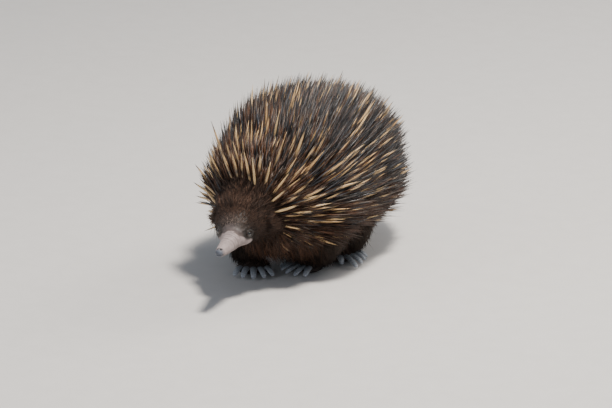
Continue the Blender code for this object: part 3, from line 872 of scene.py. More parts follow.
def swept_back(directions, spots):
    """Turns what grows high on the trunk more along the body than out to its sides."""
    turned = directions.copy()
    turned[:, 0] *= blend(1.0, SWEPT_SHARE, (spots[:, 2] - SWEPT_FROM) / SWEPT_OVER)
    return unit(turned)


def bare_share(spots):
    """1 on the bare skin of the beak, 0 on the furred skin behind it, slanting back to the lips."""
    lower = smooth_step(-spots[:, 2], *BARE_LOWER)
    ahead = BARE_START + BARE_LIPS * lower - spots[:, 1]
    outside = beak_form().nearest(spots, BARE_STATIONS)[2]
    on_beak = smooth_step(BARE_LIP_DEPTH * lower - outside, *BARE_DEPTH)
    return smooth_step(ahead, *BARE_EDGE) * on_beak * (spots[:, 1] < FACE_END)


def above_floor(spots, directions, lengths, bend, rest):
    """Shortens strands that would reach lower than rest."""
    drop = -(directions[:, 2] * lengths + bend[:, 2])
    room = np.maximum(spots[:, 2] - rest, LEAST_ROOM)
    share = np.where(drop > 0, np.minimum(1.0, room / np.maximum(drop, TINY)), 1.0)
    return lengths * share, bend * share[:, None]


def leaning(flow, normals, lift, sway, draw):
    """Directions that rise from the skin by lift and sway to either side, both in radians."""
    across = np.cross(normals, flow)
    turned = unit(flow + across * np.tan(draw.normal(0, sway, len(flow)))[:, None])
    return unit(turned * np.cos(lift)[:, None] + normals * np.sin(lift)[:, None])


# Materials

NOISE_MIDDLE = (0.3, 0.7)
BUMP_DEPTH = 0.0003
HAIR_SHADES = (0.72, 1.25)
HAIR_DETAIL, HAIR_BUMP, HAIR_ROUGHNESS_SPREAD = 4, 0.25, 0.1
SKIN_SHADES = (0.78, 1.18)
SKIN_ROUGHNESS = (0.42, 0.66)
SKIN_SHINE, SKIN_BUMP = 0.4, 0.5
MOTTLE_SCALE, MOTTLE_DETAIL = 260, 6
CREASE_SCALE, CREASE_DETAIL = 1400, 3
PORE_SCALE, PORE_SHARE = 900, 0.6


class Look:
    """A material and the nodes that make it uneven."""

    def __init__(self, name):
        self.material = bpy.data.materials.new(name)
        self.material.use_nodes = True
        self.link = self.material.node_tree.links.new
        self.shader = self.material.node_tree.nodes["Principled BSDF"]
        self.place = self.node("TexCoord").outputs["Object"]

    def node(self, kind, **inputs):
        made = self.material.node_tree.nodes.new("ShaderNode" + kind)
        for name, value in inputs.items():
            made.inputs[name.replace("_", " ")].default_value = value
        return made

    def texture(self, kind, output, **inputs):
        made = self.node(kind, **inputs)
        self.link(self.place, made.inputs["Vector"])
        return made.outputs[output]

    def ranged(self, value, low, high, start=0.0, end=1.0):
        made = self.node("MapRange", From_Min=start, From_Max=end, To_Min=low, To_Max=high)
        self.link(value, made.inputs["Value"])
        return made.outputs["Result"]

    def tinted(self, shade):
        """Colours the shader by the mesh's own tint times shade."""
        tint = self.node("Attribute")
        tint.attribute_name = "tint"
        colour = self.node("VectorMath")
        colour.operation = "SCALE"
        self.link(tint.outputs["Color"], colour.inputs[0])
        self.link(shade, colour.inputs["Scale"])
        self.link(colour.outputs["Vector"], self.shader.inputs["Base Color"])

    def rough(self, roughness):
        self.link(roughness, self.shader.inputs["Roughness"])

    def raised(self, height, strength):
        bump = self.node("Bump", Strength=strength, Distance=BUMP_DEPTH)
        self.link(height, bump.inputs["Height"])
        self.link(bump.outputs["Normal"], self.shader.inputs["Normal"])


def keratin(name, kind):
    """Keratin coloured by its own tint, uneven along and across it."""
    look = Look(name)
    look.shader.inputs["Specular IOR Level"].default_value = kind.shine
    noise = look.texture("TexNoise", "Fac", Scale=kind.grain, Detail=HAIR_DETAIL)
    look.tinted(look.ranged(noise, *HAIR_SHADES, *NOISE_MIDDLE))
    roughest = kind.roughness + HAIR_ROUGHNESS_SPREAD
    look.rough(look.ranged(noise, kind.roughness - HAIR_ROUGHNESS_SPREAD, roughest))
    look.raised(noise, HAIR_BUMP)
    return look


def leather():
    """Leathery skin: its own tint, fine creases, pores and a faint gloss."""
    look = Look("skin_leather")
    look.shader.inputs["Specular IOR Level"].default_value = SKIN_SHINE
    mottle = look.texture("TexNoise", "Fac", Scale=MOTTLE_SCALE, Detail=MOTTLE_DETAIL)
    pores = look.texture("TexVoronoi", "Distance", Scale=PORE_SCALE)
    creases = look.texture("TexNoise", "Fac", Scale=CREASE_SCALE, Detail=CREASE_DETAIL)
    look.tinted(look.ranged(mottle, *SKIN_SHADES, *NOISE_MIDDLE))
    look.rough(look.ranged(mottle, *SKIN_ROUGHNESS))
    relief = look.node("Math")
    relief.operation = "MULTIPLY_ADD"
    relief.inputs[1].default_value = PORE_SHARE
    look.link(pores, relief.inputs[0])
    look.link(creases, relief.inputs[2])
    look.raised(relief.outputs["Value"], SKIN_BUMP)
    return look


# The skin's markings and its painted shade: where they lie and how strong they are

VEIL_AHEAD = (0.142, 0.153)
VEIL_SHADE, VEIL_SHARE = 0.35, 0.8
# Painted shade on the bare beak's underside, where it faces down away from the light
UNDERSIDE = (-0.8, 0.2)
UNDERSIDE_PAINTED_SHADE = 0.62
# Painted shade in the creases of the beak's wrinkles
WRINKLE_PAINTED_SHADE, WRINKLE_SHARE = 0.32, 0.95
TIP_START = (0.86, 0.97)
LID_EDGE = (-0.0080, -0.0055)
# Painted shade: black deep in the eye sockets round the eyeballs and in the nostril pits
SOCKET_PAINTED_SHADE = (-0.0036, -0.0026)
NOSTRIL_PAINTED_SHADE = (-0.0024, -0.0012)


def paint_skin(skin):
    """Bare pinkish beak with a dark tip, brown lids, dark skin under the coat, and painted shade under the
    beak, in its wrinkles, sockets and nostrils.
    """
    spots = coordinates(skin.data)
    t, angle, outside = beak_form().nearest(spots, BEAK_STATIONS)
    bare = bare_share(spots)
    veil = smooth_step(-spots[:, 1], *VEIL_AHEAD) * (outside < BEAK_SKIN)
    over = smooth_step(np.sin(angle), *UNDERSIDE)
    colour = mixed(DARK_BROWN, PINK_GREY * VEIL_SHADE, veil * VEIL_SHARE)
    colour = mixed(colour, PINK_GREY, bare)
    # Painted shade: the bare beak darker on its underside
    colour = mixed(colour, PINK_GREY * UNDERSIDE_PAINTED_SHADE, bare * (1 - over))
    # Painted shade along the wrinkles' creases on the top of the beak
    for depth, line in wrinkle_lines(t, angle):
        colour = mixed(colour, PINK_GREY * WRINKLE_PAINTED_SHADE, WRINKLE_SHARE * depth * line * bare * over)
    colour = mixed(colour, TIP_BLUE, smooth_step(t, *TIP_START) * bare)
    for axes in on_each_side(EYE_ALONG, EYE_ANGLE):
        away = -np.linalg.norm(spots - axes[0], axis=1)
        colour = mixed(colour, LID_BROWN, smooth_step(away, *LID_EDGE))
        # Painted shade in the socket round the eyeball
        colour = mixed(colour, BLACK, smooth_step(away, *SOCKET_PAINTED_SHADE))
    # Painted shade in the nostril pits
    for centre in nostril_places():
        away = -np.linalg.norm(spots - centre, axis=1)
        colour = mixed(colour, BLACK, smooth_step(away, *NOSTRIL_PAINTED_SHADE))
    set_tint(skin.data, colour)
    skin.data.materials.clear()
    skin.data.materials.append(leather().material)


# Spines and bristles: metres, degrees and shares of one

SPINE = SimpleNamespace(
    density=120000.0, gap=0.0061, ruff=(0.048, 0.088), rear=(0.05, 0.14),
    lift={"all": 24, "back": 25, "ruff": 9, "low": -6, "far_cheek": 26}, sway=4.5,
    length={"all": 0.060, "back": 0.003, "ruff": -0.020, "low": -0.010, "far_back": 0.007},
    uneven=(0.80, 1.10), sag=-0.0015, sideways=0.0018, sunk=0.002, flatness=0.82, sides=6,
    profile=((0.0, 0.55), (0.12, 0.78), (0.30, 1.0), (0.52, 0.93), (0.73, 0.68), (0.88, 0.34)),
    material="spine_keratin", roughness=0.36, grain=900, shine=0.6,
)
BRISTLE = SimpleNamespace(
    density=290000.0, gap=None, ruff=(0.046, 0.085), rear=(0.05, 0.15),
    lift={"all": 23, "back": 24, "ruff": 8}, sway=4.0,
    length={"all": 0.054, "back": 0.003, "ruff": -0.024, "rear": 0.003, "far_back": 0.006},
    uneven=(0.62, 1.12), sag=-0.002, sideways=0.0022, sunk=0.0, flatness=1.0, sides=3,
    profile=((0.0, 0.9), (0.60, 0.80)),
    material="bristle_keratin", roughness=0.44, grain=1200, shine=0.32,
)
LIFT_UNEVENNESS = 4
SAG_UNEVENNESS = 0.002
SPINE_FLOOR_GAP = 0.006

# Ranges of place and of the skin's facing between which a share goes from 0 to 1
SPINES_LOWEST = (-0.62, -0.44)
SPINES_RING = (0.0415, 0.0465)
SHOULDER_HEIGHT = (0.055, 0.066)
SHOULDER_FRONT = (0.02, 0.05)
FACING_UP = (0.15, 0.8)
FACING_DOWN = (0.0, 0.5)
FAR_CHEEK_OUT = (0.034, 0.050)
FAR_CHEEK_LOW = (-0.115, -0.090)
FAR_BACK_OUT = (0.010, 0.045)
FAR_BACK_HIGH = (0.085, 0.120)
HIGH_REAR_UP = (0.080, 0.100)
HIGH_REAR_BACK = (-0.01, 0.05)

# Cream spines: how likely, how thick, and where their colours change
FLANK_FALL, FLANK_REAR_LOSS = 1.5, 0.5
RUFF_FROM_BACK, RUFF_FULL, RUFF_FULL_BACK = 0.25, 0.6, 0.2
PALE_RUFF, PALE_NAPE_LOSS = 0.92, 0.42
PALE_FLANK, PALE_HIGH_REAR_LOSS = 0.72, 0.65
PALE_LEAST, PALE_REAR_MOST = 0.27, 0.32
PALE_BACK_LONGER = 0.004
PALE_HALF, DARK_HALF = 0.00165, 0.00118
HALF_UNEVENNESS = (0.8, 1.2)
REAR_THINNER = 0.25
CREAM_RUFF_SHARE = 0.6
CREAM_UNEVENNESS = (0.8, 1.15)
LIGHT_BASE_FLANK, LIGHT_BASE_OVER = 0.6, 0.75
BLACK_TIPPED, TIP_BLACK, TIP_CREAM = 0.6, 1.6, 0.9
BASE_CREAM, MIDDLE_CREAM = 0.75, 0.35
PALE_BANDS = (0.0, 0.13, 0.32, 0.46, 0.74, 0.90, 1.0)
DARK_BANDS = (0.0, 0.3, 0.78, 1.0)
GREY_TIPPED, GREY_TIPPED_REAR = 0.12, 0.5

BRISTLE_HALF = 0.00070
BRISTLE_HALF_UNEVENNESS = (0.55, 1.5)
# Painted highlights: a few bristles tinted up to this many times slate, the power keeping the rest near
# black
BRISTLE_SLATE_HIGHLIGHT, BRISTLE_DARKNESS = 3.4, 5.5
BROWN_LEAST, BROWN_MORE, BROWN_LOW = 0.30, 0.65, (-0.1, 0.4)
BRISTLE_RED = 1.3
PALER_LEAST, PALER_REAR, PALER_SHADE = 0.08, 0.45, 0.9
# Painted shade at the bristles' roots, deep in the coat
BRISTLE_ROOT_PAINTED_SHADE = 0.22
BRISTLE_BANDS = (0.0, 0.6, 1.0)


class Growth:
    """Places on the skin where one kind of strand grows."""

    def __init__(self, surface, density, draw):
        self.forms = surface.forms
        self.spots, self.normals = surface.places(density, draw)
        self.owner, self.t, self.angle = ownership(self.forms, self.spots)

    def keep(self, which):
        for name in ("spots", "normals", "owner", "t", "angle"):
            setattr(self, name, getattr(self, name)[which])

    def on(self, word):
        """True for each place on a form with word in its name."""
        return np.isin(self.owner, [number for number, name in enumerate(self.forms) if word in name])

    def strands(self, name, kind, look, roots, directions, lengths, half, bend, tints):
        return strands(
            name, kind.sides, kind.profile, look.material, roots=roots, directions=directions,
            facings=self.normals, lengths=lengths, sizes=np.stack((half, half * kind.flatness), -1),
            bend=bend, tints=tints, uvs=unwrapped(self.forms, self.owner, self.t, self.angle),
        )


def spiny_share(at):
    """1 where spines grow: over the back and flanks and the rear of the neck."""
    torso = at.on("torso")
    shoulder = smooth_step(at.spots[:, 2], *SHOULDER_HEIGHT) * smooth_step(-at.spots[:, 1], *SHOULDER_FRONT)
    shoulder = shoulder * (torso | at.on("neck") | at.on("head"))
    below = np.where(torso, smooth_step(np.sin(at.angle), *SPINES_LOWEST), 0.0)
    return np.maximum(below, shoulder) * smooth_step(from_face(at.spots), *SPINES_RING)


def standing(surface, kind, draw):
    """Places of spines or bristles, with the shares of the body there, and how each one stands."""
    at = Growth(surface, lambda middles: kind.density, draw)
    at.keep(spiny_share(at) > draw.random(len(at.spots)))
    if kind.gap:
        at.keep(thinned_out(at.spots, kind.gap, draw))
    x, y, z = at.spots.T
    up = at.normals[:, 2]
    at.shares = {
        "all": 1.0,
        "ruff": 1 - smooth_step(from_face(at.spots), *kind.ruff),
        "back": smooth_step(up, *FACING_UP),
        "low": smooth_step(-up, *FACING_DOWN),
        "rear": smooth_step(y, *kind.rear),
        "far_back": smooth_step(-x, *FAR_BACK_OUT) * smooth_step(z, *FAR_BACK_HIGH),
    }
    far_cheek = smooth_step(-x, *FAR_CHEEK_OUT) * smooth_step(-z, *FAR_CHEEK_LOW)
    at.shares["far_cheek"] = far_cheek * at.shares["ruff"]
    lift = summed(kind.lift, at.shares) + draw.normal(0, LIFT_UNEVENNESS, len(x))
    at.flow = spine_lie(at.spots, at.normals)
    leant = leaning(at.flow, at.normals, np.radians(lift), math.radians(kind.sway), draw)
    at.directions = swept_back(leant, at.spots)
    at.lengths = summed(kind.length, at.shares) * draw.uniform(*kind.uneven, len(x))
    return at


def summed(amounts, shares):
    """The sum of the amounts, each times the share of the same name."""
    return sum(amount * shares[name] for name, amount in amounts.items())


def grown(at, name, kind, half, tints, draw):
    """Spines or bristles in joined meshes, bent a little each in its own way."""
    bend = at.normals * draw.normal(kind.sag, SAG_UNEVENNESS, len(half))[:, None]
    bend += np.cross(at.normals, at.flow) * draw.normal(0, kind.sideways, len(half))[:, None]
    lengths, bend = above_floor(at.spots, at.directions, at.lengths, bend, SPINE_FLOOR_GAP)
    roots = at.spots - at.directions * kind.sunk
    look = keratin(kind.material, kind)
    return at.strands(name, kind, look, roots, at.directions, lengths, half, bend, tints)


def banded(count, kind, shares, colours):
    """Tints of strands at each ring, passing from one of the colours to the next at the shares."""
    rings = [share for share, swell in kind.profile] + [1.0]
    tints = np.empty((count, len(rings), 3))
    for number, ring in enumerate(rings):
        start = min(np.searchsorted(shares, ring, "right") - 1, len(shares) - 2)
        passed = (ring - shares[start]) / (shares[start + 1] - shares[start])
        tints[:, number] = mixed(colours[start], colours[start + 1], passed)
    return tints


def pale_chance(at, back, ruff, rear, flank):
    """How likely a spine is to be cream: most round the face, often on the flanks, else seldom."""
    high_rear = smooth_step(at.spots[:, 2], *HIGH_REAR_UP) * smooth_step(at.spots[:, 1], *HIGH_REAR_BACK)
    round_face = smooth_step(ruff, RUFF_FROM_BACK * back, RUFF_FULL + RUFF_FULL_BACK * back)
    round_face = round_face * (PALE_RUFF - PALE_NAPE_LOSS * back)
    on_flank = PALE_FLANK * flank * (1 - PALE_HIGH_REAR_LOSS * high_rear)
    chance = np.maximum(np.maximum(round_face, on_flank), PALE_LEAST)
    return np.where(rear > 0.5, np.minimum(chance, PALE_REAR_MOST), chance)


def spines(surface, draw):
    """Large spines, cream with dark tips round the face and on the flanks, darker on the back."""
    at = standing(surface, SPINE, draw)
    count = len(at.spots)
    back, ruff, low, rear = (at.shares[name] for name in ("back", "ruff", "low", "rear"))
    flank = clamped(1 - back * FLANK_FALL) * (1 - FLANK_REAR_LOSS * rear)
    pale = draw.random(count) < pale_chance(at, back, ruff, rear, flank)
    on_back = back > 0.5
    at.lengths = at.lengths + PALE_BACK_LONGER * (pale & on_back)
    half = np.where(pale, PALE_HALF, DARK_HALF) * draw.uniform(*HALF_UNEVENNESS, count)
    half = half * (1 - REAR_THINNER * rear)
    own = draw.random(count)[:, None]
    cream = mixed(TAN, CREAM, np.maximum(draw.random(count), ruff * CREAM_RUFF_SHARE))
    cream = cream * draw.uniform(*CREAM_UNEVENNESS, count)[:, None]
    dark = mixed(BLACK, SLATE, draw.random(count))
    light_base = (ruff + low + LIGHT_BASE_FLANK * flank)[:, None] > LIGHT_BASE_OVER
    tip = np.where(own < BLACK_TIPPED, BLACK * TIP_BLACK, cream * TIP_CREAM)
    start = np.where(light_base, cream * BASE_CREAM, dark)
    middle = np.where(light_base, cream, mixed(dark, cream, MIDDLE_CREAM))
    middle = np.where(on_back[:, None], dark, middle)
    grey = np.where(own < GREY_TIPPED + GREY_TIPPED_REAR * rear[:, None], GREY_TIP, dark)
    pale_tints = banded(count, SPINE, PALE_BANDS, (DARK_BROWN, start, middle, cream, cream, tip, tip))
    dark_tints = banded(count, SPINE, DARK_BANDS, (DARK_BROWN, dark, dark, grey))
    tints = np.where(pale[:, None, None], pale_tints, dark_tints)
    return grown(at, "spines", SPINE, half, tints, draw)


def bristles(surface, draw):
    """Long dark bristles between the spines, paler-tipped over the rump, with painted slate highlights on a
    few and painted shade at their roots.
    """
    at = standing(surface, BRISTLE, draw)
    count = len(at.spots)
    half = BRISTLE_HALF * draw.uniform(*BRISTLE_HALF_UNEVENNESS, count)
    # Painted highlight: a few bristles bright slate, the rest near black
    dark = mixed(BLACK, SLATE * BRISTLE_SLATE_HIGHLIGHT, draw.random(count) ** BRISTLE_DARKNESS)
    low = smooth_step(-at.normals[:, 2], *BROWN_LOW)
    is_brown = draw.random(count) < BROWN_LEAST + BROWN_MORE * np.maximum(at.shares["ruff"], low)
    brown = mixed(DARK_BROWN, RED_BROWN * BRISTLE_RED, draw.random(count))
    dark = np.where(is_brown[:, None], brown, dark)
    paler = draw.random(count) < PALER_LEAST + PALER_REAR * at.shares["rear"]
    tip = np.where(paler[:, None], GREY_TIP * PALER_SHADE, dark)
    # Painted shade: roots darker, deep among the bristles
    tints = banded(count, BRISTLE, BRISTLE_BANDS, (dark * BRISTLE_ROOT_PAINTED_SHADE, dark, tip))
    return grown(at, "bristles", BRISTLE, half, tints, draw)


# Soft fur: metres, degrees and shares of one

FUR = SimpleNamespace(
    sides=3, flatness=0.6, profile=((0.0, 1.0), (0.55, 0.75)), roughness=0.62, grain=700, shine=0.3,
)
FUR_DENSITY, FUR_DENSITY_LOW, FUR_DENSITY_FACE = 200000.0, 420000.0, 3400000.0
FUR_FACE_AHEAD, FUR_FACE_RISE = (0.070, 0.125), 1.6
FUR_LOW = (-0.075, -0.055)
EYE_BARE = (-0.0058, -0.0044)
SOLE_FACING = -0.5
LOWEST_ROOT, LOWEST_FACING = 0.004, -0.2
FUR_SUNK = 0.0004

UNDER = (0.40, 0.65)
UNDER_HANGING, UNDER_HANGS = 0.75, 0.3
FACE_AHEAD = (0.095, 0.146)
NAPE_FUR, FACE_FUR = 0.021, 0.0068
MUZZLE_START, MUZZLE_OVER, MUZZLE_SHORTER = 0.138, 0.012, 0.50
FLANK_FUR, BELLY_FUR = 0.024, 0.040
LEG_FUR, FOOT_FUR = 0.019, 0.0110
FUR_UNEVENNESS = (0.65, 1.2)
FUR_LIFT, FACE_LIFT, LIMB_LIFT = 27.0, 15.0, 17.0
FUR_LIFT_UNEVENNESS, FUR_SWAY = 7, 10
NAPE_HALF, FACE_HALF = 0.00052, 0.00023
FLANK_HALF, BELLY_HALF = 0.00056, 0.00050
LEG_HALF, FOOT_HALF = 0.00052, 0.00040
FUR_HALF_UNEVENNESS = (0.65, 1.3)
FUR_SAG, FUR_SIDEWAYS = 0.24, 0.12
HANG_LONG, HANG_SHORT = 0.22, 0.03
FUR_FLOOR_GAP, FUR_FLOOR_UNEVENNESS = 0.0045, 0.006

CROWN_UP, CROWN_AHEAD = (0.0, 0.7), (0.03, 0.08)
CROWN_LEAST, REDDISH_DARKNESS = 0.25, 1.6
CHEEK_SHARE, CHEEK_AHEAD, CHEEK_HEIGHT = 0.75, (0.060, 0.105), (0.045, 0.065)
BLACK_UP, BLACK_BACK, SLATE_SHARE = (-0.2, 0.5), (-0.07, 0.0), 0.6
LIMB_SHADE = 1.25
MUZZLE_AHEAD, MUZZLE_LEAST = (0.138, 0.151), 0.35
ROUND_EYE, ROUND_EYE_SHADE, ROUND_EYE_SHARE = (-0.014, -0.006), 0.9, 0.7
TINT_UNEVENNESS, TINT_LIMITS = 0.35, (0.5, 1.7)
ROOT_SHADE, TIP_SHADE = 0.45, 1.7


def fur_density(middles):
    near_face = smooth_step(-middles[:, 1], *FUR_FACE_AHEAD) ** FUR_FACE_RISE
    low = smooth_step(-middles[:, 2], *FUR_LOW)
    return blend(blend(FUR_DENSITY, FUR_DENSITY_LOW, low), FUR_DENSITY_FACE, near_face)


def near_eyes(spots, edge):
    """1 close to either eye, and 0 beyond the edge, given as two distances below zero."""
    eyes = [axes[0] for axes in on_each_side(EYE_ALONG, EYE_ANGLE)]
    return [smooth_step(-np.linalg.norm(spots - eye, axis=1), *edge) for eye in eyes]


def fur_places(surface, draw):
    """Places of the fur: all over but the bare beak, the eyes and the soles."""
    at = Growth(surface, fur_density, draw)
    facing = at.normals[:, 2]
    bare = np.maximum.reduce([bare_share(at.spots), *near_eyes(at.spots, EYE_BARE)])
    bare = np.where(at.on("foot") & (facing < SOLE_FACING), 1.0, bare)
    under_sole = (at.spots[:, 2] < LOWEST_ROOT) & (facing < LOWEST_FACING)
    at.keep((draw.random(len(at.spots)) > bare) & ~under_sole)
    at.torso, at.legs, at.feet = at.on("torso"), at.on("leg"), at.on("foot")
    return at


def by_region(at, front, torso, legs, feet):
    """For each place of the fur, the value of the region that it grows on."""
    return np.where(at.feet, feet, np.where(at.legs, legs, np.where(at.torso, torso, front)))


def fur_tints(at, under, draw):
    """Brown on the face, reddish below, black between the spines, grey beside the bare muzzle."""
    x, y, z = at.spots.T
    up = at.normals[:, 2]
    count = len(x)
    crown = smooth_step(up, *CROWN_UP) * smooth_step(-y, *CROWN_AHEAD)
    cheek = CHEEK_SHARE * smooth_step(-y, *CHEEK_AHEAD) * smooth_step(z, *CHEEK_HEIGHT)
    reddish = draw.random(count) ** REDDISH_DARKNESS
    reddish = np.maximum(crown, cheek) * (CROWN_LEAST + (1 - CROWN_LEAST) * reddish)
    colour = mixed(DARK_BROWN, CROWN_BROWN, reddish)
    colour = mixed(colour, RED_BROWN, under * draw.random(count))
    black = np.where(at.torso, smooth_step(up, *BLACK_UP) * smooth_step(y, *BLACK_BACK), 0.0)
    colour = mixed(colour, mixed(BLACK, SLATE, draw.random(count) * SLATE_SHARE), black)
    colour = np.where((at.legs | at.feet)[:, None], DARK_BROWN * LIMB_SHADE, colour)
    grey = MUZZLE_LEAST + (1 - MUZZLE_LEAST) * draw.random(count)
    colour = mixed(colour, MUZZLE_GREY, smooth_step(-y, *MUZZLE_AHEAD) * grey)
    for near in near_eyes(at.spots, ROUND_EYE):
        colour = mixed(colour, DARK_BROWN * ROUND_EYE_SHADE, near * ROUND_EYE_SHARE)
    own = np.clip(draw.normal(1, TINT_UNEVENNESS, count), *TINT_LIMITS)
    shades = np.linspace(ROOT_SHADE, TIP_SHADE, len(FUR.profile) + 1)
    return colour[:, None] * shades[None, :, None] * own[:, None, None]


def fur(surface, draw):
    """Soft fur: short on the face and feet, longer on the crown, under the belly and on legs."""
    at = fur_places(surface, draw)
    count = len(at.spots)
    ahead = -at.spots[:, 1]
    limbs = at.legs | at.feet
    under = smooth_step(-np.where(at.torso, np.sin(at.angle), 0.0), *UNDER)
    face = smooth_step(ahead, *FACE_AHEAD)
    flow = lie_of(at.spots, at.normals, np.where(at.legs, 1.0, UNDER_HANGING * under))
    front = blend(NAPE_FUR, FACE_FUR, face)
    front = front * blend(1.0, MUZZLE_SHORTER, (ahead - MUZZLE_START) / MUZZLE_OVER)
    length = by_region(at, front, blend(FLANK_FUR, BELLY_FUR, under), LEG_FUR, FOOT_FUR)
    length = length * draw.uniform(*FUR_UNEVENNESS, count)
    lift = blend(FUR_LIFT, FACE_LIFT, face) + draw.normal(0, FUR_LIFT_UNEVENNESS, count)
    lift = np.radians(np.where(limbs, LIMB_LIFT, lift))
    directions = leaning(flow, at.normals, lift, math.radians(FUR_SWAY), draw)
    half = blend(NAPE_HALF, FACE_HALF, face)
    half = by_region(at, half, blend(FLANK_HALF, BELLY_HALF, under), LEG_HALF, FOOT_HALF)
    half = half * draw.uniform(*FUR_HALF_UNEVENNESS, count)
    tints = fur_tints(at, under, draw)
    bend = -at.normals * (length * FUR_SAG)[:, None]
    bend += np.cross(at.normals, flow) * (draw.normal(0, FUR_SIDEWAYS, count) * length)[:, None]
    bend[:, 2] -= np.where(at.legs | (under > UNDER_HANGS), HANG_LONG, HANG_SHORT) * length
    rest = FUR_FLOOR_GAP + FUR_FLOOR_UNEVENNESS * draw.random(count)
    length, bend = above_floor(at.spots, directions, length, bend, rest)
    roots = at.spots - at.normals * FUR_SUNK
    return at.strands("fur", FUR, keratin("fur_hair", FUR), roots, directions, length, half, bend, tints)


def skin_piece(forms):
    skin = base_skin(forms)
    refined(skin, FACE_FRONT)
    refined(skin, EYES_FRONT)
    sculpted(skin)
    paint_skin(skin)
    return skin


# Eyes and claws

EYE_SIDES, EYE_RINGS = 48, 32
CORNEA_HEIGHT, CORNEA_WIDTH = 0.10, 0.16
EYE_RIM = np.array((0.05, 0.04, 0.035))
IRIS = np.array((0.018, 0.010, 0.007))
PUPIL = np.array((0.002, 0.002, 0.0025))
IRIS_EDGE, PUPIL_EDGE = (0.55, 0.66), (0.84, 0.88)
EYE_LOOK = SimpleNamespace(roughness=0.14, grain=1500, shine=0.6)
EYE_COAT, EYE_COAT_ROUGHNESS = 0.6, 0.08

CLAW_LOOK = SimpleNamespace(roughness=0.42, grain=500, shine=0.5)
CLAW_RINGS, CLAW_SIDES = 25, 20
CLAW_FULLNESS, CLAW_TIP_SHARE = 3.2, 0.70
GROWTH_LINES, GROWTH_RELIEF, GROWTH_SHADE = 55, 0.018, 0.22
CLAW_HOLLOW, CLAW_HOLLOW_SIDES = 0.62, 0.25
CLAW_CLEARANCE = 0.0003
CLAW_SHADES, CLAW_PALER = (0.75, 1.5), (0.35, 1.0)
CLAW_END_SHADES = (0.6, 1.6)


def eyeball(sign, side):
    """A ball with a bulging clear front, a dark iris and a black pupil."""
    surface, outward, backward, upward = on_head(sign, EYE_ALONG, EYE_ANGLE)
    centre = surface - outward * EYE_SUNK
    bm = bmesh.new()
    bmesh.ops.create_uvsphere(bm, u_segments=EYE_SIDES, v_segments=EYE_RINGS, radius=1)
    ahead = np.array([vert.co.z for vert in bm.verts])
    for vert in bm.verts:
        x, y, z = vert.co
        radius = EYE_RADIUS * (1 + CORNEA_HEIGHT * bell(z, 1, CORNEA_WIDTH))
        vert.co = Vector(centre + (backward * x + upward * y + outward * z) * radius)
    bmesh.ops.recalc_face_normals(bm, faces=bm.faces)
    mesh = bpy.data.meshes.new(f"eyeball_{side}")
    bm.to_mesh(mesh)
    bm.free()
    mesh.shade_smooth()
    colour = mixed(EYE_RIM, IRIS, smooth_step(ahead, *IRIS_EDGE))
    set_tint(mesh, mixed(colour, PUPIL, smooth_step(ahead, *PUPIL_EDGE)))
    look = keratin(f"eye_gloss_{side}", EYE_LOOK)
    look.shader.inputs["Coat Weight"].default_value = EYE_COAT
    look.shader.inputs["Coat Roughness"].default_value = EYE_COAT_ROUGHNESS
    mesh.materials.append(look.material)
    return linked(f"eyeball_{side}", mesh)


def claw_path(limb, digit, lengths):
    spread = CLAW_SPREAD * (digit / (len(lengths) - 1) - 0.5)
    heading = heading_of(limb)
    cosine, sine = math.cos(spread), math.sin(spread)
    x, y, z = heading
    outward = np.array((x * cosine - y * sine, x * sine + y * cosine, 0))
    across = np.cross(heading, UP)
    root = on_ground(limb["foot"], CLAW_ROOT_HEIGHT) + heading * FOOT_REACH * CLAW_SET_FORWARD
    root = root - across * math.sin(spread) * FOOT_HALF_WIDTH * CLAW_FAN
    root = root - heading * (1 - math.cos(spread)) * FOOT_REACH
    tip = root + outward * (CLAW_SUNK + lengths[digit])
    middle = root + (tip - root) * CLAW_BEND_AT
    tip[2] = CLAW_TIP_HEIGHT
    middle[2] = CLAW_ROOT_HEIGHT * CLAW_ARCH
    return bezier(root, middle, tip)


def claw(limb, digit, lengths):
    """Corners and colours of one claw: arched over, hollowed under, with growth lines."""
    path = claw_path(limb, digit, lengths)
    t, angle = ring_places(CLAW_RINGS, CLAW_SIDES)
    side, up = Form(path, None).frame(t)[1:]
    lines = np.sin(t * GROWTH_LINES + digit)
    taper = rounded(t, CLAW_FULLNESS) * blend(1.0, CLAW_TIP_SHARE, t) * (1 + GROWTH_RELIEF * lines)
    across, upward = np.cos(angle), np.sin(angle)
    hollow = np.where(upward < 0, CLAW_HOLLOW + CLAW_HOLLOW_SIDES * across**2, 1.0)
    spots = path(t) + side * (across * taper * CLAW_HALF_WIDTH)[:, None]
    spots = spots + up * (upward * hollow * taper * CLAW_HALF_DEPTH)[:, None]
    spots[:, 2] = np.maximum(spots[:, 2], CLAW_CLEARANCE)
    dark, pale = (CLAW_BLUE * shade for shade in CLAW_SHADES)
    tints = mixed(dark, pale, smooth_step(t, *CLAW_PALER)) * (1 + GROWTH_SHADE * lines)[:, None]
    ends = path(np.array([0.0, 1.0]))
    end_tints = [CLAW_BLUE * shade for shade in CLAW_END_SHADES]
    return np.concatenate((spots, ends)), np.concatenate((tints, end_tints))


def claws(name, limb, material):
    """The five claws of a foot in one piece."""
    lengths = FORE_CLAW_LENGTHS if name.startswith("fore") else HIND_CLAW_LENGTHS
    corners, tints = zip(*(claw(limb, digit, lengths) for digit in range(len(lengths))))
    faces = [capped_faces(CLAW_RINGS, CLAW_SIDES)] * len(lengths)
    blocks = joined_faces(faces, [len(spots) for spots in corners])
    foot = name.replace("leg", "foot")
    obj = mesh_object(f"{foot}_claws", np.concatenate(corners), blocks)
    set_tint(obj.data, np.concatenate(tints))
    obj.data.materials.append(material)
    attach(obj, "root")
    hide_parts(*(f"{foot}_claw_{digit + 1}" for digit in range(len(lengths))))


# Setting

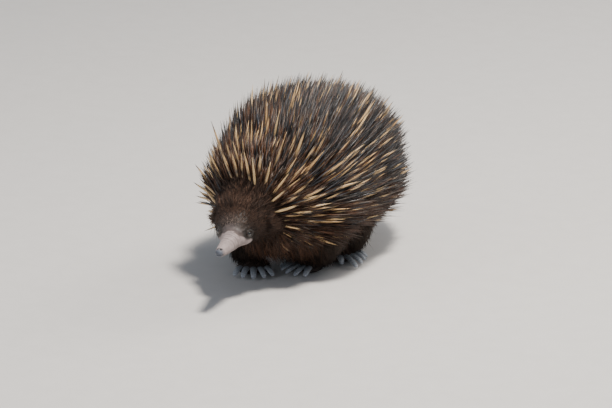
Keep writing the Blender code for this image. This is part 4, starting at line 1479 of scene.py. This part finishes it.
FLOOR_SIZE = 40
FLOOR_GRAIN, FLOOR_DETAIL, FLOOR_ROUGHNESS = 40, 5, 0.85
FLOOR_COLOURS = ((0.60, 0.575, 0.55, 1), (0.66, 0.635, 0.61, 1))
AIR_COLOUR, AIR_STRENGTH = (0.80, 0.88, 1.0, 1), 0.40
# Each light's place, size, power and colour
LIGHTS = {
    "key_light": ((0.7, -0.3, 2.3), 0.40, 100, (1.0, 0.95, 0.88)),
    "fill_light": ((-1.8, -1.8, 1.3), 1.6, 8, (0.85, 0.92, 1.0)),
    "rim_light": ((0.9, 1.8, 1.5), 1.0, 26, (1.0, 0.96, 0.9)),
}
LIGHTS_AIM = (0, 0, 0.1)
VIEW_FAR_END = 60


def floor_look():
    look = Look("studio_floor")
    noise = look.texture("TexNoise", "Fac", Scale=FLOOR_GRAIN, Detail=FLOOR_DETAIL)
    ramp = look.node("ValToRGB")
    for stop, colour in zip(ramp.color_ramp.elements, FLOOR_COLOURS):
        stop.color = colour
    look.link(noise, ramp.inputs["Fac"])
    look.link(ramp.outputs["Color"], look.shader.inputs["Base Color"])
    look.shader.inputs["Roughness"].default_value = FLOOR_ROUGHNESS
    return look


def lamp(name, place, size, power, colour):
    light = bpy.data.lights.new(name, "AREA")
    light.shape = "DISK"
    light.size = size
    light.energy = power
    light.color = colour
    obj = linked(name, light)
    obj.location = place
    obj.rotation_euler = (Vector(place) - Vector(LIGHTS_AIM)).to_track_quat("Z", "Y").to_euler()


def studio():
    bpy.ops.mesh.primitive_plane_add(size=FLOOR_SIZE, location=(0, 0, 0))
    floor = bpy.context.object
    floor.name = "studio_floor"
    floor.data.materials.append(floor_look().material)
    world = bpy.data.worlds.new("studio_air")
    bpy.context.scene.world = world
    world.use_nodes = True
    background = world.node_tree.nodes["Background"]
    background.inputs["Color"].default_value = AIR_COLOUR
    background.inputs["Strength"].default_value = AIR_STRENGTH
    for name, (place, size, power, colour) in LIGHTS.items():
        lamp(name, place, size, power, colour)


def camera():
    a, e = VIEW_AZIMUTH, VIEW_ELEVATION
    right = Vector((math.cos(a), math.sin(a), 0))
    back = Vector((math.sin(a) * math.cos(e), -math.cos(a) * math.cos(e), math.sin(e)))
    up = back.cross(right)
    target = right * ((PHOTO_WIDTH / 2 - ORIGIN_AT_PIXEL[0]) / PIXELS_PER_METRE)
    target += up * ((ORIGIN_AT_PIXEL[1] - PHOTO_HEIGHT / 2) / PIXELS_PER_METRE)
    data = bpy.data.cameras.new("camera")
    data.sensor_width = SENSOR_WIDTH
    data.lens = SENSOR_WIDTH * VIEW_DISTANCE / (PHOTO_WIDTH / PIXELS_PER_METRE)
    data.clip_end = VIEW_FAR_END
    obj = linked("camera", data)
    obj.location = target + back * VIEW_DISTANCE
    obj.rotation_euler = back.to_track_quat("Z", "Y").to_euler()
    bpy.context.scene.camera = obj


def main():
    camera()
    studio()
    forms = body_forms()
    skin = skin_piece(forms)
    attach(skin, "root")
    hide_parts(*forms, "ear_left", "ear_right")
    surface = Surface(skin, forms)
    draw = np.random.default_rng(SEED)
    for piece in spines(surface, draw) + bristles(surface, draw) + fur(surface, draw):
        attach(piece, "root")
    for side, sign in SIDES.items():
        ball = eyeball(sign, side)
        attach(ball, "root")
        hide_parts(f"eye_{side}")
    horn = keratin("claw_horn", CLAW_LOOK).material
    for name, limb in LIMBS.items():
        claws(name, limb, horn)


main()
